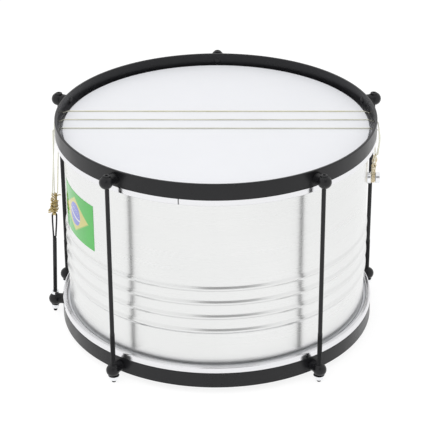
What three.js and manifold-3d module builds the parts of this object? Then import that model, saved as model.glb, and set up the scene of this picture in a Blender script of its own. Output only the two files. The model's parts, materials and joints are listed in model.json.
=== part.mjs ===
// A samba snare drum: an aluminium shell between two heads, drawn together by two steel hoops and
// tension rods, with brass snare strings laid over the upper head.
// Lengths are in millimetres and angles in degrees. The drum stands on the ends of its rods, +Z up,
// and the player's side is -Y.

import * as THREE from 'three';
import { mergeVertices } from 'three/addons/utils/BufferGeometryUtils.js';
import Module from 'manifold-3d';

// Shell
const shellDiameter = 310;
const shellDepth = 200;
const shellWall = 1.2;
const shellEdgeBevel = 0.6;
const beadCount = 4;
const beadPitch = 15.7;
const beadWidth = 7.2;
const beadHeight = 1.6;
const lowestBead = 48.2;

// Clearances between pieces that touch, and round a rod in its hole
const seatGap = 0.3;
const holeClearance = 0.4;
const cutOverrun = 2;
const mergeDistance = 0.0003;

// Heads
const filmThickness = 0.3;
const filmCorner = 0.8;
const collarDepth = 8.4;

// Flesh hoops
const fleshHoopWidth = 4.8;
const fleshHoopHeight = 6.3;
const fleshHoopSetOff = 3.2;
const fleshGrooveDepth = 2.4;
const fleshHoopBevel = 0.8;

// Steel hoops
const hoopWall = 2.6;
const hoopHeight = 16.4;
const rimRise = 11.1;

// Tension lugs, whose turns go round from the drum's right
const lugAngles = [90, 161.1, 234.1, 306.5, 19.3];
const lugSeatToRod = 10.2;
const ballBeyondRod = 1;
const ballDiameter = 13.5;
const neckDiameter = 11.5;
const tenonDiameter = 5;
const rivetHeadDiameter = 7.2;
const rivetHeadHeight = 1.8;
const upperLugBelowRim = 8.4;
const lowerLugAboveRim = 7;
const ballFlat = 0.8;
const rodHeadPocketDepth = 3;

// Tension rods, washers and nuts
const rodTail = 6.8;
const shankDiameter = 4.3;
const threadDiameter = 4.9;
const threadLength = 55;
const rodHeadDiameter = 7.2;
const rodHeadHeight = 2.2;
const rodHeadCrown = 0.9;
const washerDiameter = 11.5;
const washerThickness = 1.2;
const nutAcrossFlats = 8;
const nutHeight = 3.4;

// Snare strings
const stringCount = 3;
const stringDiameter = 1.2;
const stringSpacing = 21.2;
const stringSetBack = 8.3;
const stringHoleDiameter = 3;
const stringHoleBelowHead = 1.2;
const stringBend = 2;

// Snare rod, which hooks the strings' left ends
const snareLugToRod = 9.1;
const snareLugAboveRim = 8;
const snareRodDiameter = 4.2;
const snareRodTail = 14.3;
const snareEyeTop = 103;
const snareEyeLength = 31;
const snareEyeWidth = 6.2;
const snareEyeWire = 1.8;
const snareNutAcrossFlats = 7.5;
const snareNutHeight = 3.2;
const snareWasherDiameter = 8.6;
const snareWasherThickness = 1;

// Snare post, which holds the strings' right ends
const postBelowRim = 72;
const postDiameter = 12;
const postGrooveDiameter = 8;
const postFlangeLength = 3.6;
const postGrooveLength = 4.6;
const postHeadLength = 4.1;
const postCrown = 1.6;
const postStudDiameter = 5;
const postStudInside = 8;
const postNutHeight = 4;

// Twisted string ends
const knotStrandDiameter = 1.2;
const knotBundleLength = 22;
const knotTopDiameter = 4.4;
const knotFootDiameter = 3.4;
const postLoopTurns = 1.5;
const postLoopPitch = 1.8;
const hookLoopDiameter = 1.6;
const looseEndLength = 4;

// Each cut end's height up the bundle, and its rise for its length
const looseEndShares = [[0.35, 0.1], [0.55, 0.3]];

// Flag sticker
const stickerWidth = 72;
const stickerHeight = 49.7;
const stickerThickness = 0.3;
const stickerAboveBeads = 7.5;
const stickerAngle = -63.8;

// Facet counts
const ringSides = 50;
const lugSides = 10;
const ballSteps = 5;
const rodSides = 8;
const washerSides = 12;
const hexSides = 6;
const stringSides = 6;
const strandSides = 5;
const loopStepsPerTurn = 8;
const windingStepsPerTurn = 12;
const windingStepsApart = 8;
const bendSteps = 2;
const eyeArcSteps = 6;

// Radii and heights that follow from the sizes
const fullTurn = Math.PI * 2;
const shellRadius = shellDiameter / 2;
const shellInner = shellRadius - shellWall;
const fleshInner = shellRadius + fleshHoopSetOff;
const fleshOuter = fleshInner + fleshHoopWidth;
const hoopOuter = fleshOuter;
const hoopInner = hoopOuter - hoopWall;
const facetShare = Math.cos(Math.PI / ringSides);
const lugSeat = hoopOuter + seatGap;
const rodCircle = lugSeat + lugSeatToRod;
const snareRodCircle = lugSeat + snareLugToRod;
const lowerRim = rodTail;
const lowerHeadFace = lowerRim + rimRise;
const shellBottom = lowerHeadFace + filmThickness + seatGap;
const shellTop = shellBottom + shellDepth;
const upperHeadFace = shellTop + seatGap + filmThickness;
const upperRim = upperHeadFace + rimRise;
const upperLugHeight = upperRim - upperLugBelowRim;
const lowerLugHeight = lowerRim + lowerLugAboveRim;
const snareLugHeight = lowerRim + snareLugAboveRim;
const postHeight = upperRim - postBelowRim;
const ballRadius = ballDiameter / 2;
const threadHole = threadDiameter / 2 + holeClearance;
const stringRadius = stringDiameter / 2;
const stringHoleHeight = upperHeadFace - stringHoleBelowHead;
const stringOnHead = upperHeadFace + seatGap + stringRadius;
const stringExit = hoopOuter + stringBend;
const beadsTop = shellBottom + lowestBead + (beadCount - 1) * beadPitch + beadWidth / 2;

const wasm = await Module();
wasm.setup();

// Materials
function finish(name, color, roughness, metalness) {
  return () => new THREE.MeshStandardMaterial({ name, color, roughness, metalness });
}

const aluminium = finish('aluminium', 0xd9dbde, 0.3, 1);
const blackPaint = finish('black_paint', 0x2d2d30, 0.45, 0.2);
const chrome = finish('chrome', 0xe4e6ea, 0.12, 1);
const brass = finish('brass', 0xcdb678, 0.35, 1);
const film = finish('head_film', 0xf1f2f6, 0.5, 0);
const vinyl = finish('vinyl', 0x4cc152, 0.4, 0);

// Closed geometry with merged corners, no flat triangles, and its faces pointing out
function closed(geometry) {
  const bare = geometry.clone();
  bare.deleteAttribute('normal');
  bare.deleteAttribute('uv');
  const merged = mergeVertices(bare, mergeDistance);
  const place = merged.attributes.position;
  const index = Array.from(merged.index.array);
  const corner = (n) => new THREE.Vector3().fromBufferAttribute(place, n);
  const kept = [];
  let volume = 0;
  for (let n = 0; n < index.length; n += 3) {
    const [a, b, c] = index.slice(n, n + 3);
    if (a === b || b === c || c === a) continue;
    kept.push([a, b, c]);
    volume += corner(a).dot(corner(b).cross(corner(c)));
  }
  merged.setIndex(kept.flatMap(([a, b, c]) => (volume < 0 ? [a, c, b] : [a, b, c])));
  return merged;
}

function toManifold(geometry) {
  const ready = closed(geometry);
  return new wasm.Manifold(
    new wasm.Mesh({
      numProp: 3,
      vertProperties: new Float32Array(ready.attributes.position.array),
      triVerts: new Uint32Array(ready.index.array),
    }),
  );
}

function toGeometry(manifold) {
  const cut = manifold.getMesh();
  const geometry = new THREE.BufferGeometry();
  geometry.setAttribute('position', new THREE.BufferAttribute(cut.vertProperties, cut.numProp));
  geometry.setIndex(new THREE.BufferAttribute(cut.triVerts, 1));
  return geometry;
}

function cutAway(geometry, cutters) {
  const whole = cutters.reduce((left, cutter) => left.subtract(toManifold(cutter)), toManifold(geometry));
  return toGeometry(whole);
}

function joined(geometries) {
  const [first, ...rest] = geometries.map(toManifold);
  return toGeometry(rest.reduce((sum, next) => sum.add(next), first));
}

// A profile of [radius, height] corners turned round the Z axis
function turned(profile, sides) {
  const points = profile.map(([radius, height]) => new THREE.Vector2(radius, height));
  return closed(new THREE.LatheGeometry(points, sides).rotateX(Math.PI / 2));
}

// A profile of [radius, distance] corners turned round the X axis, which runs out from the drum
function turnedOutwards(profile, sides) {
  const points = profile.map(([radius, distance]) => new THREE.Vector2(radius, distance));
  return closed(new THREE.LatheGeometry(points, sides).rotateZ(-Math.PI / 2));
}

function closedLoop(profile) {
  return [...profile, profile[0]];
}

// A round cutter along Z or X that starts at one place and ends at another
function drillUp(radius, from, to, sides) {
  return turned([[0, from], [radius, from], [radius, to], [0, to]], sides);
}

function drillOutwards(radius, from, to, sides) {
  return turnedOutwards([[0, from], [radius, from], [radius, to], [0, to]], sides);
}

// A round tube through chosen points, with flat ends, or closed on itself
function tube(points, radiusAt, sides, closes = false) {
  const count = points.length;
  const positions = [];
  const index = [];
  const ahead = points.map((point, n) => {
    const before = closes ? points[(n - 1 + count) % count] : points[Math.max(n - 1, 0)];
    const after = closes ? points[(n + 1) % count] : points[Math.min(n + 1, count - 1)];
    return after.clone().sub(before).normalize();
  });
  const across = new THREE.Vector3(0, 1, 0);
  if (Math.abs(ahead[0].y) > Math.SQRT1_2) across.set(1, 0, 0);
  points.forEach((point, n) => {
    across.addScaledVector(ahead[n], -across.dot(ahead[n])).normalize();
    const other = ahead[n].clone().cross(across);
    for (let side = 0; side < sides; side += 1) {
      const angle = (fullTurn * side) / sides;
      const corner = point.clone();
      corner.addScaledVector(across, radiusAt(n) * Math.cos(angle));
      corner.addScaledVector(other, radiusAt(n) * Math.sin(angle));
      positions.push(corner.x, corner.y, corner.z);
    }
  });
  const spans = closes ? count : count - 1;
  for (let n = 0; n < spans; n += 1) {
    for (let side = 0; side < sides; side += 1) {
      const a = n * sides + side;
      const b = n * sides + ((side + 1) % sides);
      const c = ((n + 1) % count) * sides + side;
      const d = ((n + 1) % count) * sides + ((side + 1) % sides);
      index.push(a, b, d, a, d, c);
    }
  }
  if (!closes) {
    const last = (count - 1) * sides;
    for (let side = 1; side < sides - 1; side += 1) {
      index.push(0, side + 1, side);
      index.push(last, last + side, last + side + 1);
    }
  }
  const geometry = new THREE.BufferGeometry();
  geometry.setAttribute('position', new THREE.Float32BufferAttribute(positions, 3));
  geometry.setIndex(index);
  return closed(geometry);
}

// A hexagonal prism with a round hole, standing on Z from its foot
function hexNut(acrossFlats, height, hole, foot) {
  const corner = acrossFlats / 2 / Math.cos(Math.PI / hexSides);
  const blank = turned([[0, foot], [corner, foot], [corner, foot + height], [0, foot + height]], hexSides);
  return cutAway(blank, [drillUp(hole, foot - cutOverrun, foot + height + cutOverrun, rodSides)]);
}

function flatWasher(diameter, thickness, hole, foot) {
  const outer = diameter / 2;
  const top = foot + thickness;
  return turned(closedLoop([[hole, foot], [outer, foot], [outer, top], [hole, top]]), washerSides);
}

// Shell, whose wall swells out in beads round its lower half
function shellWallLine(radius, bevel) {
  const line = [[radius - bevel, shellBottom], [radius, shellBottom + bevel]];
  for (let bead = 0; bead < beadCount; bead += 1) {
    const middle = shellBottom + lowestBead + bead * beadPitch;
    line.push([radius, middle - beadWidth / 2]);
    line.push([radius + beadHeight, middle]);
    line.push([radius, middle + beadWidth / 2]);
  }
  line.push([radius, shellTop - bevel], [radius - bevel, shellTop]);
  return line;
}

function shell() {
  const profile = [...shellWallLine(shellRadius, shellEdgeBevel), ...shellWallLine(shellInner, 0).reverse()];
  const from = shellInner - cutOverrun;
  const to = shellRadius + cutOverrun;
  const stud = drillOutwards(postStudDiameter / 2 + seatGap, from, to, rodSides);
  return cutAway(turned(closedLoop(profile), ringSides), [stud.translate(0, 0, postHeight)]);
}

// Head film: the flat face, the corner over the shell's edge, the collar and its locked-in edge.
// It is drawn for the upper head, with its face at zero, and side is -1 on the lower head.
function head(face, side) {
  const collarInner = shellRadius + seatGap;
  const collarOuter = collarInner + filmThickness;
  const edge = fleshInner + fleshGrooveDepth - seatGap;
  const drop = (depth) => face - side * depth;
  return turned([
    [0, drop(0)],
    [collarOuter - filmCorner, drop(0)],
    [collarOuter, drop(filmCorner)],
    [collarOuter, drop(collarDepth)],
    [edge, drop(collarDepth)],
    [edge, drop(collarDepth + filmThickness)],
    [collarInner, drop(collarDepth + filmThickness)],
    [collarInner, drop(filmCorner + filmThickness)],
    [collarInner - filmCorner, drop(filmThickness)],
    [0, drop(filmThickness)],
  ], ringSides);
}

// Flesh hoop, flush with the steel hoop whose edge bears on it. A groove in its inner face locks
// the film's edge.
function fleshHoop(face, side) {
  const top = hoopHeight + seatGap - rimRise;
  const foot = top + fleshHoopHeight;
  const grooveTop = collarDepth - seatGap;
  const grooveFoot = collarDepth + filmThickness + seatGap;
  const grooveBack = fleshInner + fleshGrooveDepth;
  const profile = [
    [fleshInner, top],
    [fleshOuter, top],
    [fleshOuter, foot - fleshHoopBevel],
    [fleshOuter - fleshHoopBevel, foot],
    [fleshInner, foot],
    [fleshInner, grooveFoot],
    [grooveBack, grooveFoot],
    [grooveBack, grooveTop],
    [fleshInner, grooveTop],
  ];
  return turned(closedLoop(profile.map(([radius, depth]) => [radius, face - side * depth])), ringSides);
}

// Steel hoop: a flat band on edge
function steelHoop(rim, side) {
  const profile = [[hoopInner, 0], [hoopOuter, 0], [hoopOuter, hoopHeight], [hoopInner, hoopHeight]];
  return turned(closedLoop(profile.map(([radius, depth]) => [radius, rim - side * depth])), ringSides);
}

function tenonHole(height, turn) {
  const from = hoopInner - cutOverrun;
  const to = hoopOuter + cutOverrun;
  const drill = drillOutwards(tenonDiameter / 2 + seatGap, from, to, rodSides);
  return drill.rotateZ(turn).translate(0, 0, height);
}

const rodTurns = lugAngles.map(THREE.MathUtils.degToRad);
const snareTurn = Math.PI;
const stringPlaces = Array.from(
  { length: stringCount },
  (_, n) => stringSetBack + ((stringCount - 1) / 2 - n) * stringSpacing,
);

function topHoop() {
  const reach = hoopOuter + cutOverrun;
  const tenons = rodTurns.map((turn) => tenonHole(upperLugHeight, turn));
  const strings = stringPlaces.map((place) =>
    drillOutwards(stringHoleDiameter / 2, -reach, reach, rodSides).translate(0, place, stringHoleHeight));
  return cutAway(steelHoop(upperRim, 1), [...tenons, ...strings]);
}

function bottomHoop() {
  const tenons = rodTurns.map((turn) => tenonHole(lowerLugHeight, turn));
  return cutAway(steelHoop(lowerRim, -1), [...tenons, tenonHole(snareLugHeight, snareTurn)]);
}

// Lug: a ball on a neck, riveted through the hoop. It lies along X, with its centre at zero height.
function lug(reach) {
  const ballCentre = lugSeat + reach;
  const inner = hoopInner * facetShare - seatGap;
  const neckRadius = neckDiameter / 2;
  const rivetRadius = rivetHeadDiameter / 2;
  const start = Math.PI - Math.asin(neckRadius / ballRadius);
  const ball = Array.from({ length: ballSteps + 1 }, (_, n) => {
    const angle = start * (1 - n / ballSteps);
    return [ballRadius * Math.sin(angle), ballCentre + ballRadius * Math.cos(angle)];
  });
  ball[ballSteps][0] = 0;
  return turnedOutwards([
    [0, inner - rivetHeadHeight],
    [rivetRadius / 2, inner - rivetHeadHeight],
    [rivetRadius, inner - rivetHeadHeight / 2],
    [rivetRadius, inner],
    [tenonDiameter / 2, inner],
    [tenonDiameter / 2, lugSeat],
    [neckRadius, lugSeat],
    ...ball,
  ], lugSides);
}

function upperLug() {
  const top = ballRadius + cutOverrun;
  const hole = drillUp(threadHole, -top, top, rodSides).translate(rodCircle, 0, 0);
  const pocketRadius = rodHeadDiameter / 2 + holeClearance;
  const pocket = drillUp(pocketRadius, ballRadius - rodHeadPocketDepth, top, rodSides);
  return cutAway(lug(lugSeatToRod + ballBeyondRod), [hole, pocket.translate(rodCircle, 0, 0)]);
}

function lowerLug() {
  const below = -ballRadius - cutOverrun;
  const hole = drillUp(threadHole, below, -below, rodSides);
  const flat = drillUp(ballRadius, below, ballFlat - ballRadius, rodSides);
  const cutters = [hole, flat].map((cutter) => cutter.translate(rodCircle, 0, 0));
  return cutAway(lug(lugSeatToRod + ballBeyondRod), cutters);
}

function snareLug() {
  const beyond = ballRadius + cutOverrun;
  const hole = drillUp(snareRodDiameter / 2 + holeClearance, -beyond, beyond, rodSides);
  const upperFlat = drillUp(ballRadius, ballRadius - ballFlat, beyond, rodSides);
  const lowerFlat = drillUp(ballRadius, -beyond, ballFlat - ballRadius, rodSides);
  const cutters = [hole, upperFlat, lowerFlat].map((cutter) =>
    cutter.rotateY(-snareLean).translate(snareRodCircle, 0, 0));
  return cutAway(lug(snareLugToRod), cutters);
}

// Tension rod, with its head in the upper lug's pocket
function tensionRod() {
  const headFoot = upperLugHeight + ballRadius - rodHeadPocketDepth + seatGap;
  const headTop = headFoot + rodHeadHeight;
  const threadRadius = threadDiameter / 2;
  const shankRadius = shankDiameter / 2;
  const headRadius = rodHeadDiameter / 2;
  return turned([
    [0, 0],
    [threadRadius, 0],
    [threadRadius, threadLength],
    [shankRadius, threadLength],
    [shankRadius, headFoot],
    [headRadius, headFoot],
    [headRadius, headTop],
    [headRadius / 2, headTop + rodHeadCrown],
    [0, headTop + rodHeadCrown],
  ], rodSides);
}

const washerTop = lowerLugHeight - ballRadius + ballFlat - seatGap;
const washerFoot = washerTop - washerThickness;
const nutFoot = washerFoot - seatGap - nutHeight;

// The strings pull in a straight line from the snare lug, or the post, to where they leave the hoop
const snareLean = Math.atan((snareRodCircle - stringExit) / (stringHoleHeight - snareLugHeight));
const postSeat = shellRadius + seatGap;
const postGroove = postSeat + postFlangeLength + postGrooveLength / 2;
const postLean = Math.atan((postGroove - stringExit) / (stringHoleHeight - postHeight));

// Snare rod: a threaded rod whose upper end is bent to a long eye. Its origin is the lug's centre.
function snareRod() {
  const wire = snareEyeWire / 2;
  const arc = (snareEyeWidth - snareEyeWire) / 2;
  const upperCentre = snareEyeTop - wire - arc;
  const lowerCentre = snareEyeTop - snareEyeLength + wire + arc;
  const points = [];
  for (let n = 0; n <= eyeArcSteps; n += 1) {
    const angle = (Math.PI * n) / eyeArcSteps;
    points.push(new THREE.Vector3(arc * Math.cos(angle), 0, upperCentre + arc * Math.sin(angle)));
  }
  for (let n = 0; n <= eyeArcSteps; n += 1) {
    const angle = Math.PI * (1 + n / eyeArcSteps);
    points.push(new THREE.Vector3(arc * Math.cos(angle), 0, lowerCentre + arc * Math.sin(angle)));
  }
  const eye = tube(points, () => wire, stringSides, true);
  const shaft = drillUp(snareRodDiameter / 2, -snareRodTail, lowerCentre - arc + wire / 2, rodSides);
  return joined([shaft, eye]);
}

const snareFlat = ballRadius - ballFlat + seatGap;
const snareHole = snareRodDiameter / 2 + seatGap;
const snareWasherFoot = -snareFlat - snareWasherThickness;
const snareNutFoot = snareWasherFoot - seatGap - snareNutHeight;

// Snare post: a chromed spool on a stud through the shell. It lies along X at zero height.
function snarePost() {
  const studRadius = postStudDiameter / 2;
  const bodyRadius = postDiameter / 2;
  const grooveRadius = postGrooveDiameter / 2;
  const grooveStart = postSeat + postFlangeLength;
  const grooveEnd = grooveStart + postGrooveLength;
  const headEnd = grooveEnd + postHeadLength;
  return turnedOutwards([
    [0, shellInner - postStudInside],
    [studRadius, shellInner - postStudInside],
    [studRadius, postSeat],
    [bodyRadius, postSeat],
    [bodyRadius, grooveStart],
    [grooveRadius, grooveStart],
    [grooveRadius, grooveEnd],
    [bodyRadius, grooveEnd],
    [bodyRadius, headEnd],
    [bodyRadius * Math.SQRT1_2, headEnd + postCrown * Math.SQRT1_2],
    [0, headEnd + postCrown],
  ], washerSides);
}

// The nut and washer inside the shell lie along X from the wall towards the drum's middle
const postWasherFoot = shellInner * facetShare - seatGap - washerThickness;
const postNutFoot = postWasherFoot - seatGap - postNutHeight;
const postHole = postStudDiameter / 2 + seatGap;

// Twisted string end: a tapered bundle that rises over the bar that it loops round. The bar lies
// along X at zero height.
function bundle(barRadius) {
  const foot = barRadius + seatGap;
  const top = barRadius + knotBundleLength;
  return turned([[0, foot], [knotFootDiameter / 2, foot], [knotTopDiameter / 2, top], [0, top]], rodSides);
}

// Least clear distance between one turn of a winding and the next
function printGap(label, points, radius) {
  let least = Infinity;
  points.forEach((point, n) => {
    for (let later = n + windingStepsApart; later < points.length; later += 1) {
      least = Math.min(least, point.distanceTo(points[later]) - radius * 2);
    }
  });
  console.log(`${label}: least gap to itself ${least.toFixed(2)} mm`);
}

// Strands looped round the post's groove, side by side
function postKnot() {
  const barRadius = postGrooveDiameter / 2;
  const strand = knotStrandDiameter / 2;
  const radius = barRadius + seatGap + strand;
  const steps = Math.ceil(postLoopTurns * windingStepsPerTurn);
  const loops = [];
  for (let n = 0; n <= steps; n += 1) {
    const angle = fullTurn * postLoopTurns * (n / steps);
    const along = postLoopPitch * postLoopTurns * (n / steps - 1 / 2);
    loops.push(new THREE.Vector3(along, -radius * Math.sin(angle), radius * Math.cos(angle)));
  }
  printGap('loops round the post', loops, strand);
  return joined([bundle(barRadius), tube(loops, () => strand, strandSides)]);
}

// One thick loop through the snare rod's eye, and the cut string ends beside the bundle
function hookKnot() {
  const barRadius = snareEyeWire / 2;
  const loopRadius = hookLoopDiameter / 2;
  const radius = barRadius + seatGap + loopRadius;
  const loop = [];
  for (let n = 0; n < loopStepsPerTurn; n += 1) {
    const angle = (fullTurn * n) / loopStepsPerTurn;
    loop.push(new THREE.Vector3(0, radius * Math.sin(angle), radius * Math.cos(angle)));
  }
  const strand = stringDiameter / 2;
  const ends = looseEndShares.map(([heightShare, riseShare]) => {
    const height = barRadius + knotBundleLength * heightShare;
    const reach = looseEndLength + knotFootDiameter / 2;
    const tip = new THREE.Vector3(reach, 0, height + looseEndLength * riseShare);
    return tube([new THREE.Vector3(0, 0, height), tip], () => strand, strandSides);
  });
  return joined([bundle(barRadius), tube(loop, () => loopRadius, stringSides, true), ...ends]);
}

// Snare string: from the left bundle up to its hole, over the head, and down to the right bundle
function onPullLine(circle, height, lean, distance) {
  return new THREE.Vector3(circle - distance * Math.sin(lean), 0, height + distance * Math.cos(lean));
}

function stringHalf(place, offset, bundleTop) {
  const outAt = (radius) => Math.sqrt(radius * radius - place * place);
  const points = [
    new THREE.Vector3(outAt(shellRadius), place, stringOnHead),
    new THREE.Vector3(outAt(hoopInner), place, stringHoleHeight),
  ];
  for (let n = 0; n <= bendSteps; n += 1) {
    const angle = (Math.PI / 2) * (n / bendSteps);
    const out = outAt(hoopOuter) + stringBend * Math.sin(angle);
    points.push(new THREE.Vector3(out, place, stringHoleHeight - stringBend * (1 - Math.cos(angle))));
  }
  points.push(bundleTop.clone().setY(offset));
  return points;
}

function snareString(n) {
  const place = stringPlaces[n];
  const offset = (stringPlaces[n] - stringSetBack) / stringSpacing * (stringDiameter + seatGap);
  const aboveHook = snareEyeTop + knotBundleLength + seatGap;
  const abovePost = postGrooveDiameter / 2 + knotBundleLength + seatGap;
  const hookTop = onPullLine(snareRodCircle, snareLugHeight, snareLean, aboveHook);
  const postTop = onPullLine(postGroove, postHeight, postLean, abovePost);
  const leftHalf = stringHalf(place, offset, hookTop).map((point) => point.setX(-point.x));
  const rightHalf = stringHalf(place, offset, postTop);
  return tube([...leftHalf.reverse(), ...rightHalf], () => stringRadius, stringSides);
}

// Flag sticker, bent to the shell's facets, which are counted round from the front
function flagSticker() {
  const facet = fullTurn / ringSides;
  const middle = THREE.MathUtils.degToRad(stickerAngle);
  const half = stickerWidth / shellRadius / 2;
  const firstEdge = Math.ceil((middle - half) / facet);
  const lastEdge = Math.floor((middle + half) / facet);
  const edges = Array.from({ length: lastEdge - firstEdge + 1 }, (_, n) => (firstEdge + n) * facet);
  const turns = [middle - half, ...edges, middle + half];
  const onFacet = (turn, radius) => {
    const centre = (Math.floor(turn / facet) + 1 / 2) * facet;
    const onEdge = Math.abs(turn / facet - Math.round(turn / facet)) < Number.EPSILON * ringSides;
    const reach = onEdge ? radius : (radius * facetShare) / Math.cos(turn - centre);
    return new THREE.Vector2(reach * Math.sin(turn), -reach * Math.cos(turn));
  };
  const inner = shellRadius + seatGap;
  const outline = new THREE.Shape([
    ...turns.map((turn) => onFacet(turn, inner + stickerThickness)),
    ...turns.map((turn) => onFacet(turn, inner)).reverse(),
  ]);
  const sheet = new THREE.ExtrudeGeometry(outline, { depth: stickerHeight, bevelEnabled: false });
  return closed(sheet.translate(0, 0, beadsTop + stickerAboveBeads));
}

// Assembly
const drum = new THREE.Group();

function add(parent, name, geometry, material) {
  const mesh = new THREE.Mesh(geometry, material());
  mesh.name = name;
  parent.add(mesh);
  return mesh;
}

add(drum, 'shell', shell(), aluminium);
add(drum, 'top_head', head(upperHeadFace, 1), film);
add(drum, 'bottom_head', head(lowerHeadFace, -1), film);
add(drum, 'top_flesh_hoop', fleshHoop(upperHeadFace, 1), aluminium);
add(drum, 'bottom_flesh_hoop', fleshHoop(lowerHeadFace, -1), aluminium);
add(drum, 'top_hoop', topHoop(), blackPaint);
add(drum, 'bottom_hoop', bottomHoop(), blackPaint);

rodTurns.forEach((turn, n) => {
  const station = new THREE.Group();
  station.rotation.z = turn;
  drum.add(station);
  add(station, `top_lug_${n + 1}`, upperLug(), blackPaint).position.z = upperLugHeight;
  add(station, `bottom_lug_${n + 1}`, lowerLug(), blackPaint).position.z = lowerLugHeight;
  add(station, `tension_rod_${n + 1}`, tensionRod(), blackPaint).position.x = rodCircle;
  const washer = flatWasher(washerDiameter, washerThickness, threadHole, washerFoot);
  add(station, `tension_washer_${n + 1}`, washer, chrome).position.x = rodCircle;
  const nut = hexNut(nutAcrossFlats, nutHeight, threadHole, nutFoot);
  add(station, `tension_nut_${n + 1}`, nut, chrome).position.x = rodCircle;
});

const snareStation = new THREE.Group();
snareStation.rotation.z = snareTurn;
snareStation.position.z = snareLugHeight;
drum.add(snareStation);
add(snareStation, 'snare_lug', snareLug(), blackPaint);
const snareLine = new THREE.Group();
snareLine.position.x = snareRodCircle;
snareLine.rotation.y = -snareLean;
snareStation.add(snareLine);
add(snareLine, 'snare_rod', snareRod(), blackPaint);
add(snareLine, 'snare_lock_nut', hexNut(snareNutAcrossFlats, snareNutHeight, snareHole, snareFlat), chrome);
const snareWasher = flatWasher(snareWasherDiameter, snareWasherThickness, snareHole, snareWasherFoot);
add(snareLine, 'snare_washer', snareWasher, chrome);
add(snareLine, 'snare_nut', hexNut(snareNutAcrossFlats, snareNutHeight, snareHole, snareNutFoot), chrome);
add(snareLine, 'left_string_knot', hookKnot(), brass).position.z = snareEyeTop - snareEyeWire / 2;

const postStation = new THREE.Group();
postStation.position.z = postHeight;
drum.add(postStation);
add(postStation, 'snare_post', snarePost(), chrome);
const postWasher = flatWasher(washerDiameter, washerThickness, postHole, postWasherFoot);
add(postStation, 'post_washer', postWasher.rotateY(Math.PI / 2), chrome);
const postNut = hexNut(nutAcrossFlats, postNutHeight, postHole, postNutFoot);
add(postStation, 'post_nut', postNut.rotateY(Math.PI / 2), chrome);
const postLine = new THREE.Group();
postLine.position.x = postGroove;
postLine.rotation.y = -postLean;
postStation.add(postLine);
add(postLine, 'right_string_knot', postKnot(), brass);

stringPlaces.forEach((_, n) => add(drum, `snare_string_${n + 1}`, snareString(n), brass));
add(drum, 'flag_sticker', flagSticker(), vinyl);

// The origin is under the middle of the drum's outline, on the floor
const outline = new THREE.Box3().setFromObject(drum);
const middle = outline.getCenter(new THREE.Vector3());
drum.position.set(-middle.x, -middle.y, 0);
const part = new THREE.Group();
part.add(drum);

export default part;
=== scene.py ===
"""Dresses a samba snare drum: a beaded aluminium shell between two heads, drawn together by black
steel hoops and tension rods, with brass snare strings over the upper head.

Lengths are in metres, +Z is up and the player's side is -Y. A piece's place is in its mesh."""

import json
import math

import bmesh
import bpy
import numpy as np
from bpy.props import FloatProperty, FloatVectorProperty, IntProperty, PointerProperty
from mathutils import Matrix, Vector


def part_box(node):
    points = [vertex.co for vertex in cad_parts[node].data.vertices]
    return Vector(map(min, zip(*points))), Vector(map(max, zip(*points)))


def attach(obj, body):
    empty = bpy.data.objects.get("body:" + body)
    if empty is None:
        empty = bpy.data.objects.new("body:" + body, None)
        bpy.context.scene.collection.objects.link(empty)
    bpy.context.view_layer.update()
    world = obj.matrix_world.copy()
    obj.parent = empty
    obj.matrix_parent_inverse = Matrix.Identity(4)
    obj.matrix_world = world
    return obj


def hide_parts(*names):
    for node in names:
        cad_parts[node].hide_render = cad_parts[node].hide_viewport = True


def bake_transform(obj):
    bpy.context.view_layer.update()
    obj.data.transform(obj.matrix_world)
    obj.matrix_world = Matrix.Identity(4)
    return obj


bl_info = {
    "name": "Samba snare drum",
    "version": (1, 0, 0),
    "blender": (4, 5, 0),
    "location": "3D View > Sidebar > Drum",
    "description": "Builds the fine pieces, finishes and studio of a samba snare drum",
    "category": "Add Mesh",
}

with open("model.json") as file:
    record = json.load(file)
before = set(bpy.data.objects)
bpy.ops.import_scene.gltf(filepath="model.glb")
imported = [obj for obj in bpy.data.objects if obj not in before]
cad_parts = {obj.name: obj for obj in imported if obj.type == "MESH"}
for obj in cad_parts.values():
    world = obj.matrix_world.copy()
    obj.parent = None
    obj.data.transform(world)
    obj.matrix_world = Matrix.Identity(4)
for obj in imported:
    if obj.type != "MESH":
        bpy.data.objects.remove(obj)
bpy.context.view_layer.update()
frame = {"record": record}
MM = 0.001
RODS = range(1, 6)
BODIES = {node: body for body, nodes in frame["record"]["behaviour"]["bodies"].items() for node in nodes}

# Places that the drum's solids give
shell_low, shell_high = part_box("shell")
AXIS = np.array([(shell_low.x + shell_high.x) / 2, (shell_low.y + shell_high.y) / 2, 0.0])
SHELL_FOOT, SHELL_TOP = shell_low.z, shell_high.z
UPPER_FACE, LOWER_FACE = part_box("top_head")[1].z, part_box("bottom_head")[0].z
UPPER_RIM, LOWER_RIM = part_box("top_hoop")[1].z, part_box("bottom_hoop")[0].z
HOOP_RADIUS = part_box("top_hoop")[1].y - AXIS[1]
ROD_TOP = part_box("tension_rod_1")[1].z


def rod_place(number):
    """Middle of a tension rod, on the floor."""
    low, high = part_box(f"tension_rod_{number}")
    return np.array([(low.x + high.x) / 2, (low.y + high.y) / 2, 0.0])


ROD_PLACES = [rod_place(number) for number in RODS]
ROD_TURNS = [math.atan2(*(place - AXIS)[1::-1]) for place in ROD_PLACES]
ROD_CIRCLE = float(np.linalg.norm(ROD_PLACES[0] - AXIS))


# Shapes

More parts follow.
